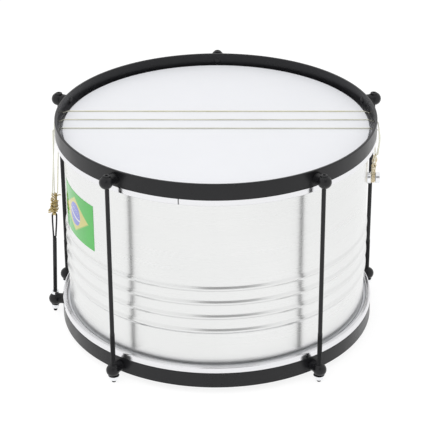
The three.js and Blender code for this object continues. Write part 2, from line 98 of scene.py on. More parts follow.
def rounded(corners, radii, steps=5):
    """An outline whose corners become arcs that touch both sides. An arc of radius r starts r/tan(h)
    from its corner, where h is half the corner's angle, and a point beyond each end keeps the side flat."""
    corners = np.asarray(corners, float)
    sides = np.stack([np.roll(corners, 1, axis=0), np.roll(corners, -1, axis=0)]) - corners
    lengths = np.linalg.norm(sides, axis=2)
    to_last, to_next = sides / lengths[:, :, None]
    half = np.arccos(np.clip((to_last * to_next).sum(1), -1, 1)) / 2
    most_of_side, beyond = 0.36, 0.3
    reach = np.minimum(radii / np.tan(half), most_of_side * lengths.min(0))
    middle = to_last + to_next
    middle /= np.maximum(np.linalg.norm(middle, axis=1), 1e-9)[:, None]
    centre = (corners + middle * (reach * np.tan(half) / np.sin(half))[:, None])[:, None]
    start, end = corners + to_last * reach[:, None], corners + to_next * reach[:, None]
    turn = (np.pi - 2 * half)[:, None, None]
    share = np.linspace(0, 1, steps + 1)[None, :, None]
    from_start = (start[:, None] - centre) * np.sin((1 - share) * turn)
    to_end = (end[:, None] - centre) * np.sin(share * turn)
    arc = centre + (from_start + to_end) / np.maximum(np.sin(turn), 1e-9)
    before, after = start + to_last * reach[:, None] * beyond, end + to_next * reach[:, None] * beyond
    return np.concatenate([before[:, None], arc, after[:, None]], axis=1).reshape(-1, corners.shape[1])


def surface(points, closes_rows, closes_columns, v=None):
    """A grid of points as four-cornered faces, whose map runs from 0 to 1 along each row and by v from
    row to row."""
    rows, columns = points.shape[:2]
    row = np.arange(rows + closes_rows) % rows
    column = np.arange(columns + closes_columns) % columns
    v = np.linspace(0, 1, len(row)) if v is None else v
    plan = np.stack(np.meshgrid(v, np.linspace(0, 1, len(column)), indexing="ij")[::-1], axis=-1)

    def cornered(grid):
        """The four corners of each face, from a grid of values."""
        return np.stack([grid[:-1, :-1], grid[:-1, 1:], grid[1:, 1:], grid[1:, :-1]], axis=2)

    faces = cornered(row[:, None] * columns + column)
    return points.reshape(-1, 3), faces.reshape(-1, 4), cornered(plan).reshape(-1, 2)


def lengths_along(path, closes=False):
    """Distance from the first point of a path to each of its points, and back to the first if it closes."""
    path = np.concatenate([path, path[:1]]) if closes else path
    return np.concatenate([[0], np.cumsum(np.linalg.norm(np.diff(path, axis=0), axis=1))])


def turned(radius, height, sides, closes=False):
    """Radius and height, one row for each ring and one column for each side, turned round the Z axis:
    x is r cos(a) and y is r sin(a). A plain profile gives the same radius and height on every side."""
    angle = 2 * np.pi * np.arange(sides) / sides
    columns = [np.reshape(value, (len(value), -1)) for value in (radius, height)]
    radius, height, angle = np.broadcast_arrays(*columns, angle)
    points = np.stack([radius * np.cos(angle), radius * np.sin(angle), height], axis=-1)
    return surface(points, closes, True, lengths_along(points[:, 0], closes))


def lathe(profile, sides, closes=False):
    """A profile of radius and height turned round the Z axis."""
    return turned(profile[:, 0], profile[:, 1], sides, closes)


def disc(radius, low, high, sides=40):
    """A plain round bar standing on Z."""
    return lathe(np.array([[0, low], [radius, low], [radius, high], [0, high]]), sides)


def about_axis(line, side, level, sides, closes=True, turn=0.0):
    """A profile turned round the drum at a level, upside down where side is -1."""
    return moved(lathe(line * [1, side], sides, closes), AXIS + [0, 0, level], turn)


def tube(path, radius, sides=10, aside=(0.3, 1, 0.2), closes=False):
    """A round tube: each ring is the path's point plus r (s cos a + t sin a), where s is square to the
    path and as near as can be to the direction aside, and t is square to both."""
    ahead = np.roll(path, -1, axis=0) - np.roll(path, 1, axis=0) if closes else np.gradient(path, axis=0)
    ahead /= np.linalg.norm(ahead, axis=1)[:, None]
    side = np.asarray(aside, float) - ahead * (ahead @ np.asarray(aside, float))[:, None]
    side /= np.linalg.norm(side, axis=1)[:, None]
    angle = (2 * np.pi * np.arange(sides) / sides)[None, :, None]
    spokes = side[:, None] * np.cos(angle) + np.cross(ahead, side)[:, None] * np.sin(angle)
    rings = path[:, None] + radius * spokes
    v = lengths_along(path, closes)
    if not closes:
        first, last = (np.repeat(path[end][None, None], sides, axis=1) for end in (0, -1))
        rings = np.concatenate([first, rings, last])
        v = np.concatenate([v[:1], v, v[-1:]])
    return surface(rings, closes, True, v)


def curve_through(points, count):
    """A smooth path through points: a cubic between neighbours whose slope at each point is that of the
    line between the points beside it."""
    points = np.asarray(points, float)
    slopes = np.gradient(points, axis=0)
    place = np.linspace(0, len(points) - 1, count)
    span = np.minimum(place.astype(int), len(points) - 2)
    t = (place - span)[:, None]
    ahead = 3 * t**2 - 2 * t**3
    leaving = (t**3 - 2 * t**2 + t) * slopes[span]
    arriving = (t**3 - t**2) * slopes[span + 1]
    return (1 - ahead) * points[span] + ahead * points[span + 1] + leaving + arriving


def moved(shape, offset=(0, 0, 0), turn=0.0, lean=0.0, lies=False):
    """The shape laid with its Z along X if it lies, leaned about Y, turned about Z, then moved."""
    points, faces, corners = shape
    matrix = Matrix.Rotation(turn, 3, "Z") @ Matrix.Rotation(lean + (math.pi / 2 if lies else 0), 3, "Y")
    return points @ np.array(matrix).T + np.asarray(offset, float), faces, corners


def make_mesh(shapes, seals=False):
    """One mesh of all the shapes, with its poles merged and its faces turned outwards."""
    points, faces, corners = zip(*shapes)
    starts = np.cumsum([0] + [len(part) for part in points[:-1]])
    faces = np.concatenate([part + start for part, start in zip(faces, starts)])
    mesh = bpy.data.meshes.new("piece")
    mesh.from_pydata(np.concatenate(points), [], faces, shade_flat=False)
    plan = mesh.uv_layers.new(name="along").data
    plan.foreach_set("uv", np.concatenate(corners).astype(np.float32).ravel())
    work = bmesh.new()
    work.from_mesh(mesh)
    bmesh.ops.remove_doubles(work, verts=work.verts, dist=0.0002 * MM)
    if seals:
        bmesh.ops.holes_fill(work, edges=[edge for edge in work.edges if edge.is_boundary])
    bmesh.ops.recalc_face_normals(work, faces=work.faces)
    work.to_mesh(mesh)
    work.free()
    mesh.validate()
    return mesh


def cut(mesh, cutters):
    """The mesh without the space of each cutter, by an exact Boolean."""
    things = [bpy.data.objects.new("work", mesh)]
    things += [bpy.data.objects.new("cutter", make_mesh([cutter])) for cutter in cutters]
    for thing in things:
        bpy.context.scene.collection.objects.link(thing)
    for tool in things[1:]:
        modifier = things[0].modifiers.new("cut", "BOOLEAN")
        modifier.operation = "DIFFERENCE"
        modifier.solver = "EXACT"
        modifier.object = tool
    graph = bpy.context.evaluated_depsgraph_get()
    result = bpy.data.meshes.new_from_object(things[0].evaluated_get(graph))
    for thing in things:
        bpy.data.objects.remove(thing)
    return result


def add_piece(node, name, mesh, look, crease=40, rides=True):
    """Links a piece that stands for a solid, shades it smooth up to the crease angle in degrees, gives
    it its finish, puts it on the solid's body where it rides, and hides the solid's own part."""
    mesh.name = name
    mesh.set_sharp_from_angle(angle=math.radians(crease))
    mesh.materials.clear()
    mesh.materials.append(finish(look))
    piece = bpy.data.objects.new(name, mesh)
    bpy.context.scene.collection.objects.link(piece)
    if rides:
        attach(piece, BODIES[node])
    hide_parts(node)
    return piece


# Finishes

class Tree:
    """A shader tree, with a short call for each kind of node that the finishes use"""

    def __init__(self, tree):
        self.tree = tree

    def join(self, socket, value):
        """A socket takes a value or another node's output."""
        if isinstance(value, bpy.types.NodeSocket):
            self.tree.links.new(value, socket)
        else:
            socket.default_value = value

    def add(self, kind, inputs=None, **settings):
        """The outputs of a new node with the given inputs and settings."""
        made = self.tree.nodes.new("ShaderNode" + kind)
        for key, value in settings.items():
            setattr(made, key, value)
        for key, value in (inputs or {}).items():
            self.join(made.inputs[key], value)
        return made.outputs

    def math(self, operation, first, second=0.0):
        """One sum on two values."""
        return self.add("Math", {0: first, 1: second}, operation=operation)[0]

    def mix(self, share, first, second):
        """A colour between two colours."""
        return self.add("Mix", {0: share, 6: first, 7: second}, data_type="RGBA")[2]

    def ranged(self, value, low, high, start=0.0, end=1.0):
        """A number from low to high as the value goes from start to end."""
        spans = {"From Min": start, "From Max": end, "To Min": low, "To Max": high}
        return self.add("MapRange", {"Value": value, **spans})[0]

    def bump(self, height, strength, distance):
        """A normal from a height."""
        return self.add("Bump", {"Height": height, "Strength": strength, "Distance": distance})[0]

    def along(self):
        """A piece's own map: the place round each ring, then the distance from ring to ring."""
        return self.add("SeparateXYZ", {0: self.add("UVMap", uv_map="along")["UV"]})[:2]

    def group(self, name, **values):
        """A shared group with its own values."""
        return self.add("Group", values, node_tree=bpy.data.node_groups[name])[0]


class Finish(Tree):
    """The tree of a new material, whose Principled shader is fed in one call"""

    def __init__(self, name):
        self.material = bpy.data.materials.new(name)
        self.material.use_nodes = True
        super().__init__(self.material.node_tree)

    def feed(self, **inputs):
        """Values or outputs for the shader's sockets, with _ for a space in a socket's name."""
        shader = self.tree.nodes["Principled BSDF"]
        for key, value in inputs.items():
            self.join(shader.inputs[key.replace("_", " ")], value)
        return self.material


def new_group(name, inputs, output):
    """An empty shared group with named number or vector inputs and one named number output."""
    group = bpy.data.node_groups.new(name, "ShaderNodeTree")
    for label, default in inputs.items():
        kind = "NodeSocketVector" if isinstance(default, tuple) else "NodeSocketFloat"
        group.interface.new_socket(name=label, in_out="INPUT", socket_type=kind).default_value = default
    group.interface.new_socket(name=output, in_out="OUTPUT", socket_type="NodeSocketFloat")
    given, result = (group.nodes.new("NodeGroup" + end) for end in ("Input", "Output"))
    return Tree(group), given.outputs, result.inputs[0]


def grain_group():
    """Grain: noise stretched by a scale along each axis, so that it runs as lines or stands as dots."""
    tree, given, out = new_group("Grain", {"Scale": (1.0, 1.0, 1.0), "Detail": 2.0}, "Grain")
    place = tree.add("TexCoord")["Object"]
    stretched = tree.add("VectorMath", {0: place, 1: given["Scale"]}, operation="MULTIPLY")[0]
    noise = tree.add("TexNoise", {"Vector": stretched, "Scale": 1.0, "Detail": given["Detail"]})["Fac"]
    tree.join(out, tree.ranged(noise, 0.0, 1.0, 0.3, 0.7))


def patches_group():
    """Patches: soft uneven areas, as handling and polishing leave them, between a least and a most value."""
    tree, given, out = new_group("Patches", {"Size": 0.05, "Least": 0.0, "Most": 1.0}, "Value")
    place = tree.add("TexCoord")["Object"]
    scale = tree.math("DIVIDE", 1.0, given["Size"])
    noise = tree.add("TexNoise", {"Vector": place, "Scale": scale, "Detail": 3.0, "Roughness": 0.55})["Fac"]
    tree.join(out, tree.ranged(noise, given["Least"], given["Most"], 0.32, 0.68))


def coils_group():
    """Coils: the ribs of a wire wound round a core, from the distance along it in metres."""
    tree, given, out = new_group("Coils", {"Pitch": 0.0003}, "Ribs")
    around, along = tree.along()
    turns = tree.math("ADD", tree.math("DIVIDE", along, given["Pitch"]), around)
    wave = tree.math("SINE", tree.math("MULTIPLY", turns, 2 * math.pi))
    tree.join(out, tree.ranged(wave, 0.0, 1.0, -1.0, 1.0))


def tone(colour, share=1.0):
    """A colour made lighter or darker by a share."""
    return (*(min(1.0, channel * share) for channel in colour), 1.0)


def grey(level):
    """A plain grey."""
    return (level, level, level, 1.0)


def shell_finish(look):
    """Bright rolled sheet: fine lines round the shell, which blur reflections up and down more than
    round it, and soft uneven stretches of polish."""
    tree = Finish("rolled_aluminium")
    lines = tree.group("Grain", Scale=(3, 3, 1400), Detail=2.0)
    soft = tree.group("Patches", Size=0.12)
    shine = tree.mix(soft, tone(look.aluminium, 0.965), tone(look.aluminium, 1.03))
    tree.feed(
        Metallic=1.0, Anisotropic=0.35, Anisotropic_Rotation=0.25,
        Base_Color=tree.mix(lines, shine, tone(look.aluminium)),
        Roughness=tree.ranged(lines, look.shell_gloss, look.shell_dull))


def ring_finish(look):
    """Drawn aluminium of the flesh hoops, with lines round them, a butt seam across, and painted
    shade on the inner face, which stands in for the shade in the gap beside the shell."""
    tree = Finish("drawn_aluminium")
    lines = tree.group("Grain", Scale=(9, 9, 3200), Detail=3.0)
    around, along = tree.along()
    off = tree.math("ABSOLUTE", tree.math("SUBTRACT", around, look.seam_share))
    seam = tree.math("LESS_THAN", off, look.seam_width)
    # Painted shade: past this length along the outline, the inner face is darkened to 0.4 of the ring's tone,
    # for the shade in the gap beside the shell.
    inner = tree.math("GREATER_THAN", along, look.ring_face)
    base = tree.mix(lines, tone(look.ring, 0.93), tone(look.ring))
    base = tree.mix(inner, base, tone(look.ring, 0.4))
    tree.feed(
        Metallic=1.0,
        Base_Color=tree.mix(seam, base, tone(look.ring, 0.25)),
        Roughness=tree.group("Patches", Size=0.03, Least=0.13, Most=0.22),
        Normal=tree.bump(lines, 0.12, 3e-5))


def paint_finish(look, name, dull):
    """Black paint: a faint orange peel, uneven sheen and a trace of dust."""
    tree = Finish(name)
    soft = tree.group("Patches", Size=0.02)
    peel = tree.group("Grain", Scale=(900, 900, 900), Detail=1.0)
    tree.feed(
        Metallic=0.0, Specular_IOR_Level=0.33,
        Base_Color=tree.mix(soft, tone(look.black, 0.9), tone(look.black, 1.15)),
        Roughness=tree.ranged(soft, dull - 0.05, dull + 0.07),
        Normal=tree.bump(peel, 0.12, 2e-5))


def chrome_finish(look):
    """Bright plate with faint wipe marks."""
    tree = Finish("chrome_plate")
    fine = tree.group("Grain", Scale=(700, 700, 700), Detail=2.0)
    tree.feed(
        Metallic=1.0,
        Base_Color=tree.mix(fine, tone(look.chrome, 0.95), tone(look.chrome)),
        Roughness=tree.group("Patches", Size=0.006, Least=0.03, Most=0.08))


def string_finish(name, bright, worn, stretch=0.03):
    """Brass winding: ribs along each string with painted shade in the valleys between the turns,
    paler and duller by stretches.
    """
    tree = Finish(name)
    ribs = tree.group("Coils", Pitch=0.00032)
    soft = tree.group("Patches", Size=stretch)
    crests = tree.mix(soft, tone(bright), tone(worn))
    # Painted shade: the valleys between the turns are darker copies of the brass, for the shade that falls
    # between them.
    shaded_valleys = tree.mix(soft, tone(bright, 0.8), tone(worn, 0.85))
    tree.feed(
        Metallic=1.0,
        Base_Color=tree.mix(ribs, shaded_valleys, crests),
        Roughness=tree.ranged(soft, 0.3, 0.44),
        Normal=tree.bump(ribs, 0.3, 5e-5))


def film_finish(look):
    """Milky film: smooth, hardly shiny, with a fine tooth and faint clouds."""
    tree = Finish("milky_film")
    clouds = tree.group("Patches", Size=0.05)
    tooth = tree.group("Grain", Scale=(1500, 1500, 1500), Detail=2.0)
    tree.feed(
        Metallic=0.0, IOR=1.45,
        Base_Color=tree.mix(clouds, tone(look.film, 0.985), tone(look.film)),
        Roughness=tree.ranged(tooth, 0.38, 0.5),
        Normal=tree.bump(tooth, 0.06, 1e-5))


# Half width and half height of the flag's rhombus, in modules of a twentieth of the flag's width
RHOMBUS = (8.3, 5.3)
DISC_RADIUS = 3.5
# The white band lies between two circles about one point
BAND_CENTRE, BAND_RADII = (-2, -7), (8.0, 8.5)
STAR_RADIUS = 0.13
STARS = (
    (1.2, 1.9), (-2.6, 0.1), (-1.9, -0.5), (-2.3, -1.2), (-1.5, -1.6), (-0.9, -0.7), (0.1, -0.9), (0.1, -2.0),
    (-0.4, -1.4), (0.6, -1.4), (1.2, -1.7), (1.7, -1.2), (2.1, -1.8), (1.5, -2.4), (2.5, -0.9), (-0.3, -2.9),
)


def sticker_finish(look, label):
    """The flag on its vinyl, upside down: a green field, a yellow rhombus, and a blue disc with a white
    curved band and stars. Places are in modules from the disc's middle."""
    tree = Finish("printed_vinyl")
    module = label.flag / 20
    half_width, half_height = label.width / 2, label.height / 2
    around, up = tree.along()
    aside, above = label.flag_aside, label.flag_up
    x = tree.ranged(around, (half_width - aside) / module, -(half_width + aside) / module)
    y = tree.ranged(up, (half_height + above) / module, (above - half_height) / module)

    def inside(value, limit, blur=0.06):
        """One under the limit and nought over it, with a ramp of twice the blur between."""
        return tree.ranged(value, 1.0, 0.0, limit - blur, limit + blur)

    def far_from(place):
        """Distance from a place: the root of the sum of both squared steps."""
        steps = [tree.math("SUBTRACT", along, to) for along, to in zip((x, y), place)]
        return tree.math("SQRT", tree.math("ADD", *[tree.math("MULTIPLY", step, step) for step in steps]))

    shares = [tree.math("DIVIDE", tree.math("ABSOLUTE", along), half) for along, half in zip((x, y), RHOMBUS)]
    rhombus = inside(tree.math("ADD", *shares), 1.0)
    disc_mask = inside(far_from((0, 0)), DISC_RADIUS)
    arc = far_from(BAND_CENTRE)
    hollow, full = (inside(arc, radius) for radius in BAND_RADII)
    white = tree.math("MULTIPLY", full, tree.math("SUBTRACT", 1.0, hollow))
    for place in STARS:
        white = tree.math("MAXIMUM", white, inside(far_from(place), STAR_RADIUS))
    print_colour = tree.mix(rhombus, tone(look.green), tone(look.yellow))
    print_colour = tree.mix(disc_mask, print_colour, tone(look.blue))
    print_colour = tree.mix(tree.math("MULTIPLY", disc_mask, white), print_colour, grey(0.9))
    fade = tree.group("Patches", Size=0.02, Least=0.94, Most=1.0)
    tree.feed(
        Metallic=0.0, IOR=1.6,
        Base_Color=tree.add("HueSaturation", {"Color": print_colour, "Value": fade})[0],
        Roughness=tree.group("Patches", Size=0.01, Least=0.03, Most=0.07))


def finish(name):
    """A finish by name; all of them are made once, after the shared groups."""
    if "Grain" not in bpy.data.node_groups:
        grain_group()
        patches_group()
        coils_group()
        look = sizes_of("look")
        shell_finish(look)
        ring_finish(look)
        paint_finish(look, "black_hoop_paint", look.hoop_dull)
        paint_finish(look, "black_rod_finish", look.rod_dull)
        chrome_finish(look)
        string_finish("brass_winding", look.brass, look.pale_brass)
        string_finish("dull_winding", look.grey_brass, look.pale_brass)
        string_finish("old_brass_ends", look.old_brass, look.gold_brass, 0.004)
        string_finish("pale_brass_ends", look.cream_brass, look.pale_brass, 0.006)
        film_finish(look)
        sticker_finish(look, sizes_of("sticker"))
    return bpy.data.materials[name]


# Sizes and colours that a user may change

def named(group):
    """Names each property of a group after its own word: ball_flat becomes Ball flat."""
    for key, value in group.__annotations__.items():
        value.keywords["name"] = key.replace("_", " ").capitalize()
    return group


def length(value, description):
    """A length in millimetres as a property in metres."""
    return FloatProperty(description=description, default=value * MM, subtype="DISTANCE", unit="LENGTH")


def angle_of(value, description):
    """An angle in degrees as a property in radians."""
    return FloatProperty(
        description=description, default=math.radians(value), subtype="ANGLE", unit="ROTATION")


def share_of(value, description):
    """A number from 0 to 1."""
    return FloatProperty(description=description, default=value, min=0, max=1, subtype="FACTOR")


def colour(value, description):
    """A colour as the shader reads it."""
    return FloatVectorProperty(description=description, default=value, subtype="COLOR", min=0, max=1)


@named
class DrumBodySizes(bpy.types.PropertyGroup):
    """Sizes of the shell, heads and hoops"""

    shell_radius: length(155.0, "Outer radius of the shell")
    shell_wall: length(1.2, "Thickness of the sheet")
    bead_count: IntProperty(description="Beads rolled round the shell", default=4)
    lowest_bead: length(48.2, "Height of the lowest bead above the shell's foot")
    bead_pitch: length(15.7, "Distance from one bead to the next")
    bead_width: length(7.2, "Width of a bead")
    bead_height: length(1.6, "How far a bead stands out")
    film: length(0.3, "Thickness of a head")
    collar: length(8.4, "Depth to which a head turns down over the shell")
    ring_inner: length(158.2, "Inner radius of the flesh hoops")
    ring_width: length(4.8, "Width of the flesh hoops")
    ring_height: length(6.3, "Height of the flesh hoops")
    ring_drop: length(5.6, "Distance from a head's face to its flesh hoop")
    ring_groove: length(2.4, "Depth of the groove that locks the film")
    hoop_wall: length(2.6, "Thickness of the steel hoops")
    hoop_height: length(16.4, "Height of the steel hoops")


@named
class DrumHardwareSizes(bpy.types.PropertyGroup):
    """Sizes of the lugs, rods, washers and nuts"""

    ball: length(13.5, "Diameter of a lug's ball")
    ball_beyond_rod: length(1.0, "How far a ball's middle lies outside its rod")
    neck: length(11.5, "Diameter of a lug's neck")
    ball_below_rim: length(8.4, "Distance from the upper rim to the upper balls")
    ball_above_rim: length(7.0, "Distance from the lower rim to the lower balls")
    ball_flat: length(0.8, "Depth of the flat under a lower ball")
    pocket: length(3.0, "Depth of the pocket for a rod's head")
    rivet: length(7.2, "Diameter of the rivet head inside the hoop")
    shank: length(4.3, "Diameter of a rod's shank")
    thread: length(4.9, "Diameter of a rod's thread")
    thread_length: length(55.0, "Length of a rod's thread")
    thread_pitch: length(0.8, "Pitch of a rod's thread")
    rod_head: length(7.2, "Diameter of a rod's head")
    socket: length(3.1, "Width of the socket in a rod's head, across its corners")
    washer: length(11.5, "Diameter of a washer")
    washer_height: length(1.2, "Thickness of a washer")
    nut: length(8.0, "Width of a nut across its flats")
    nut_height: length(3.4, "Height of a nut")


@named
class DrumSnareSizes(bpy.types.PropertyGroup):
    """Sizes of the snare strings, rod and post"""

    string: length(1.2, "Diameter of a string")
    spacing: length(21.2, "Distance from one string to the next")
    set_back: length(8.3, "Distance of the middle string behind the drum's middle")
    hole: length(3.0, "Diameter of the strings' holes in the upper hoop")
    hole_below_head: length(1.2, "Distance from the head's face down to the strings' holes")
    bend: length(2.0, "Radius at which a string turns down outside its hole")
    circle: length(172.4, "Distance of the snare rod's ball from the drum's middle")
    ball_above_rim: length(8.0, "Distance from the lower rim to the snare rod's ball")
    rod: length(4.2, "Diameter of the snare rod")
    rod_tail: length(14.3, "Length of the snare rod below its ball's middle")
    thread_top: length(40.0, "Height of the snare rod's thread above its ball's middle")
    thread_pitch: length(0.7, "Pitch of the snare rod's thread")
    nut: length(7.5, "Width of the snare rod's nuts across their flats")
    nut_height: length(3.2, "Height of the snare rod's nuts")
    eye_top: length(103.0, "Distance from the ball's middle to the eye's top")
    eye_length: length(31.0, "Length of the eye")
    eye_width: length(6.2, "Width of the eye")
    eye_wire: length(1.8, "Diameter of the eye's wire")
    knot_length: length(22.0, "Length of the twisted string ends")
    post_below_rim: length(72.0, "Distance from the upper rim to the post")
    post: length(12.0, "Diameter of the post's flanges")
    groove: length(8.0, "Diameter of the post's groove")
    groove_circle: length(161.2, "Distance of the groove from the drum's middle")
    groove_width: length(4.6, "Width of the post's groove")
    post_head: length(4.1, "Length of the post beyond its groove, without its dome")


@named
class DrumStickerSizes(bpy.types.PropertyGroup):
    """Sizes of the flag sticker"""

    width: length(72.0, "Width of the sticker along the shell")
    height: length(49.7, "Height of the sticker")
    flag: length(70.0, "Width of the flag that is printed on the green sheet")
    flag_aside: length(2.6, "Distance of the flag's middle from the sheet's, away from the front")
    flag_up: length(0.6, "Distance of the flag's middle above the sheet's")
    foot: length(124.9, "Height of the sticker's lower edge above the floor")
    angle: angle_of(-63.8, "Turn of the sticker's middle from the front")
    thickness: length(0.2, "Thickness of the vinyl")


@named
class DrumLook(bpy.types.PropertyGroup):
    """Colours and gloss of the finishes"""

    aluminium: colour((0.8, 0.805, 0.8), "Rolled sheet of the shell")
    ring: colour((0.83, 0.83, 0.85), "Drawn aluminium of the flesh hoops")
    black: colour((0.01, 0.01, 0.0115), "Paint of the hoops, lugs and rods")
    chrome: colour((0.88, 0.89, 0.91), "Plated nuts, washers and post")
    brass: colour((0.9, 0.87, 0.62), "Winding of the back string")
    pale_brass: colour((0.93, 0.92, 0.8), "Worn stretches of a winding")
    grey_brass: colour((0.78, 0.78, 0.67), "Dull winding of the other strings")
    old_brass: colour((0.3, 0.21, 0.06), "Tarnished winding of the left string ends")
    gold_brass: colour((0.8, 0.66, 0.34), "Cleaner winding of the left string ends")
    cream_brass: colour((0.86, 0.7, 0.43), "Winding of the right string ends")
    film: colour((0.87, 0.88, 0.912), "Milky film of the heads")
    green: colour((0.08, 0.57, 0.09), "Field of the flag")
    yellow: colour((0.74, 0.69, 0.22), "Rhombus of the flag")
    blue: colour((0.24, 0.27, 0.74), "Disc of the flag")
    shell_gloss: share_of(0.27, "Roughness of the shell's polished lines")
    shell_dull: share_of(0.3, "Roughness of the shell's dull lines")
    hoop_dull: share_of(0.3, "Roughness of the hoops' paint")
    rod_dull: share_of(0.32, "Roughness of the lugs and rods")
    # Painted shade: the flesh hoop's outline past this length, its inner face, is painted darker for the
    # shade in the gap beside the shell.
    ring_face: length(13.3, "Length of the flesh hoop's polished outline, from its inner chamfer")
    seam_share: share_of(0.25, "Place of the flesh hoop's seam round the ring")
    seam_width: share_of(0.0006, "Width of the seam, as a share of the ring")


@named
class DrumStage(bpy.types.PropertyGroup):
    """Camera and light"""

    elevation: angle_of(27.115, "Angle of the camera above the drum")
    roll: angle_of(0.027, "Turn of the picture")
    distance: length(1814.96, "Distance from the camera to the point it aims at")
    aim_aside: length(18.24, "Distance of the aimed point to the right of the drum's axis")
    aim_height: length(118.42, "Height of the aimed point")
    lens: FloatProperty(description="Focal length in millimetres", default=145.331)
    shift_x: FloatProperty(description="Camera shift to the right", default=-0.041667)
    shift_y: FloatProperty(description="Camera shift upwards", default=-0.00965)
    floor: share_of(0.8, "Grey of the floor in the light that it throws on the drum")
    floor_seen: share_of(0.24, "Grey of the floor where it is seen, under its glow")
    floor_glow: share_of(0.85, "Light that the floor adds where it is seen")
    card_reach: length(2600.0, "Distance from the drum to the dark card")
    card_left: share_of(0.36, "Grey of the card's left edge")
    card_right: share_of(0.62, "Grey of the card's right edge")
    card_again: share_of(0.95, "Grey of the card in second reflections")
    sky: share_of(0.8, "Strength of the light from all round")
    lamp: FloatProperty(description="Power of the soft lamp", default=9.0, subtype="POWER", unit="POWER")


def sizes_of(group):
    """The scene's values of one group, by its short name."""
    return getattr(bpy.context.scene, "drum_" + group)


# Studio

CARD_TURN = (-12.6, 34)
CARD_RISE = (19, 56)


def add_camera(sizes):
    """The camera looks along +Y and down; its axes are right, up and back, turned by the roll."""
    rise, roll = sizes.elevation, sizes.roll
    back = np.array([0, -math.cos(rise), math.sin(rise)])
    up = np.array([0, math.sin(rise), math.cos(rise)])
    right = np.array([1.0, 0, 0])
    matrix = np.eye(4)
    matrix[:3, 0] = right * math.cos(roll) + up * math.sin(roll)
    matrix[:3, 1] = up * math.cos(roll) - right * math.sin(roll)
    matrix[:3, 2] = back
    matrix[:3, 3] = AXIS + [sizes.aim_aside, 0, sizes.aim_height] + back * sizes.distance
    lens = bpy.data.cameras.new("camera")
    lens.sensor_width = 36
    lens.lens = sizes.lens
    lens.shift_x = sizes.shift_x
    lens.shift_y = sizes.shift_y
    lens.clip_end = 50
    camera = bpy.data.objects.new("camera", lens)
    camera.matrix_world = Matrix(matrix.tolist())
    bpy.context.scene.collection.objects.link(camera)
    bpy.context.scene.camera = camera


def add_stage_piece(name, shape, material):
    """A piece of the studio, which isn't part of the drum."""
    mesh = make_mesh([shape])
    mesh.materials.append(material)
    piece = bpy.data.objects.new(name, mesh)
    bpy.context.scene.collection.objects.link(piece)
    return piece


def seen_plainly(tree):
    """One for rays from the camera and for reflections, and nought for the light that falls on things."""
    rays = tree.add("LightPath")
    seen = tree.math("MAXIMUM", rays["Is Camera Ray"], rays["Is Glossy Ray"])
    return tree.math("MAXIMUM", seen, rays["Is Transmission Ray"])


def add_floor(sizes):
    """A wide pale disc under the drum, which the camera and reflections see nearly white."""
    tree = Finish("pale_floor")
    seen = seen_plainly(tree)
    material = tree.feed(
        Roughness=0.9, Specular_IOR_Level=0.0, Emission_Color=grey(1.0),
        Base_Color=tree.mix(seen, grey(sizes.floor), grey(sizes.floor_seen)),
        Emission_Strength=tree.ranged(seen, 0.0, sizes.floor_glow))
    radius = np.array([0.0, 0.3, 1.0, 3.0, 9.0])
    add_stage_piece("floor", turned(radius, np.full(5, -0.4 * MM), 64), material)


def add_card(sizes):
    """A dark bent card round the camera, which only first reflections show, as dark lines along the
    beads. It is a patch of a ball about the drum: the turn runs along it, the rise up it."""
    turn = np.radians(np.linspace(*CARD_TURN, 33))[None, :]
    rise = np.radians(np.linspace(*CARD_RISE, 17))[:, None]
    reach = np.cos(rise)
    patch = np.stack([np.sin(turn) * reach, -np.cos(turn) * reach, np.sin(rise) + 0 * turn], axis=-1)
    tree = Finish("dark_card")
    again = tree.math("GREATER_THAN", tree.add("LightPath")["Glossy Depth"], 1.5)
    dark = tree.mix(tree.along()[0], grey(sizes.card_left), grey(sizes.card_right))
    material = tree.feed(
        Roughness=0.9, Specular_IOR_Level=0.0, Base_Color=tree.mix(again, dark, grey(sizes.card_again)))
    card = add_stage_piece("dark_card", surface(patch * sizes.card_reach + AXIS, False, False), material)
    card.visible_camera = card.visible_diffuse = card.visible_shadow = False


def add_light(sizes):
    """An even sky that the camera and reflections see as white, and one wide lamp overhead."""
    world = bpy.data.worlds.new("sky")
    world.use_nodes = True
    tree = Tree(world.node_tree)
    sky = world.node_tree.nodes["Background"].inputs
    tree.join(sky["Color"], grey(1.0))
    tree.join(sky["Strength"], tree.ranged(seen_plainly(tree), sizes.sky, 1.0))
    bpy.context.scene.world = world
    light = bpy.data.lights.new("lamp", "AREA")
    light.shape = "SQUARE"
    light.size = 1.6
    light.energy = sizes.lamp
    lamp = bpy.data.objects.new("lamp", light)
    lamp.visible_glossy = False
    lamp.location = (-0.5, -0.7, 1.7)
    lamp.rotation_euler = (math.radians(20), math.radians(-14), 0)
    bpy.context.scene.collection.objects.link(lamp)


class DRUM_OT_stage(bpy.types.Operator):
    """Sets the camera, a pale floor and soft light"""

    bl_idname = "drum.stage"
    bl_label = "Studio"

    def execute(self, context):
        """The camera, the floor, the dark card and the light, each from the stage's values."""
        sizes = sizes_of("stage")
        for add in (add_camera, add_floor, add_card, add_light):
            add(sizes)
        context.scene.view_settings.view_transform = "Standard"
        return {"FINISHED"}


# Shell, heads and hoops

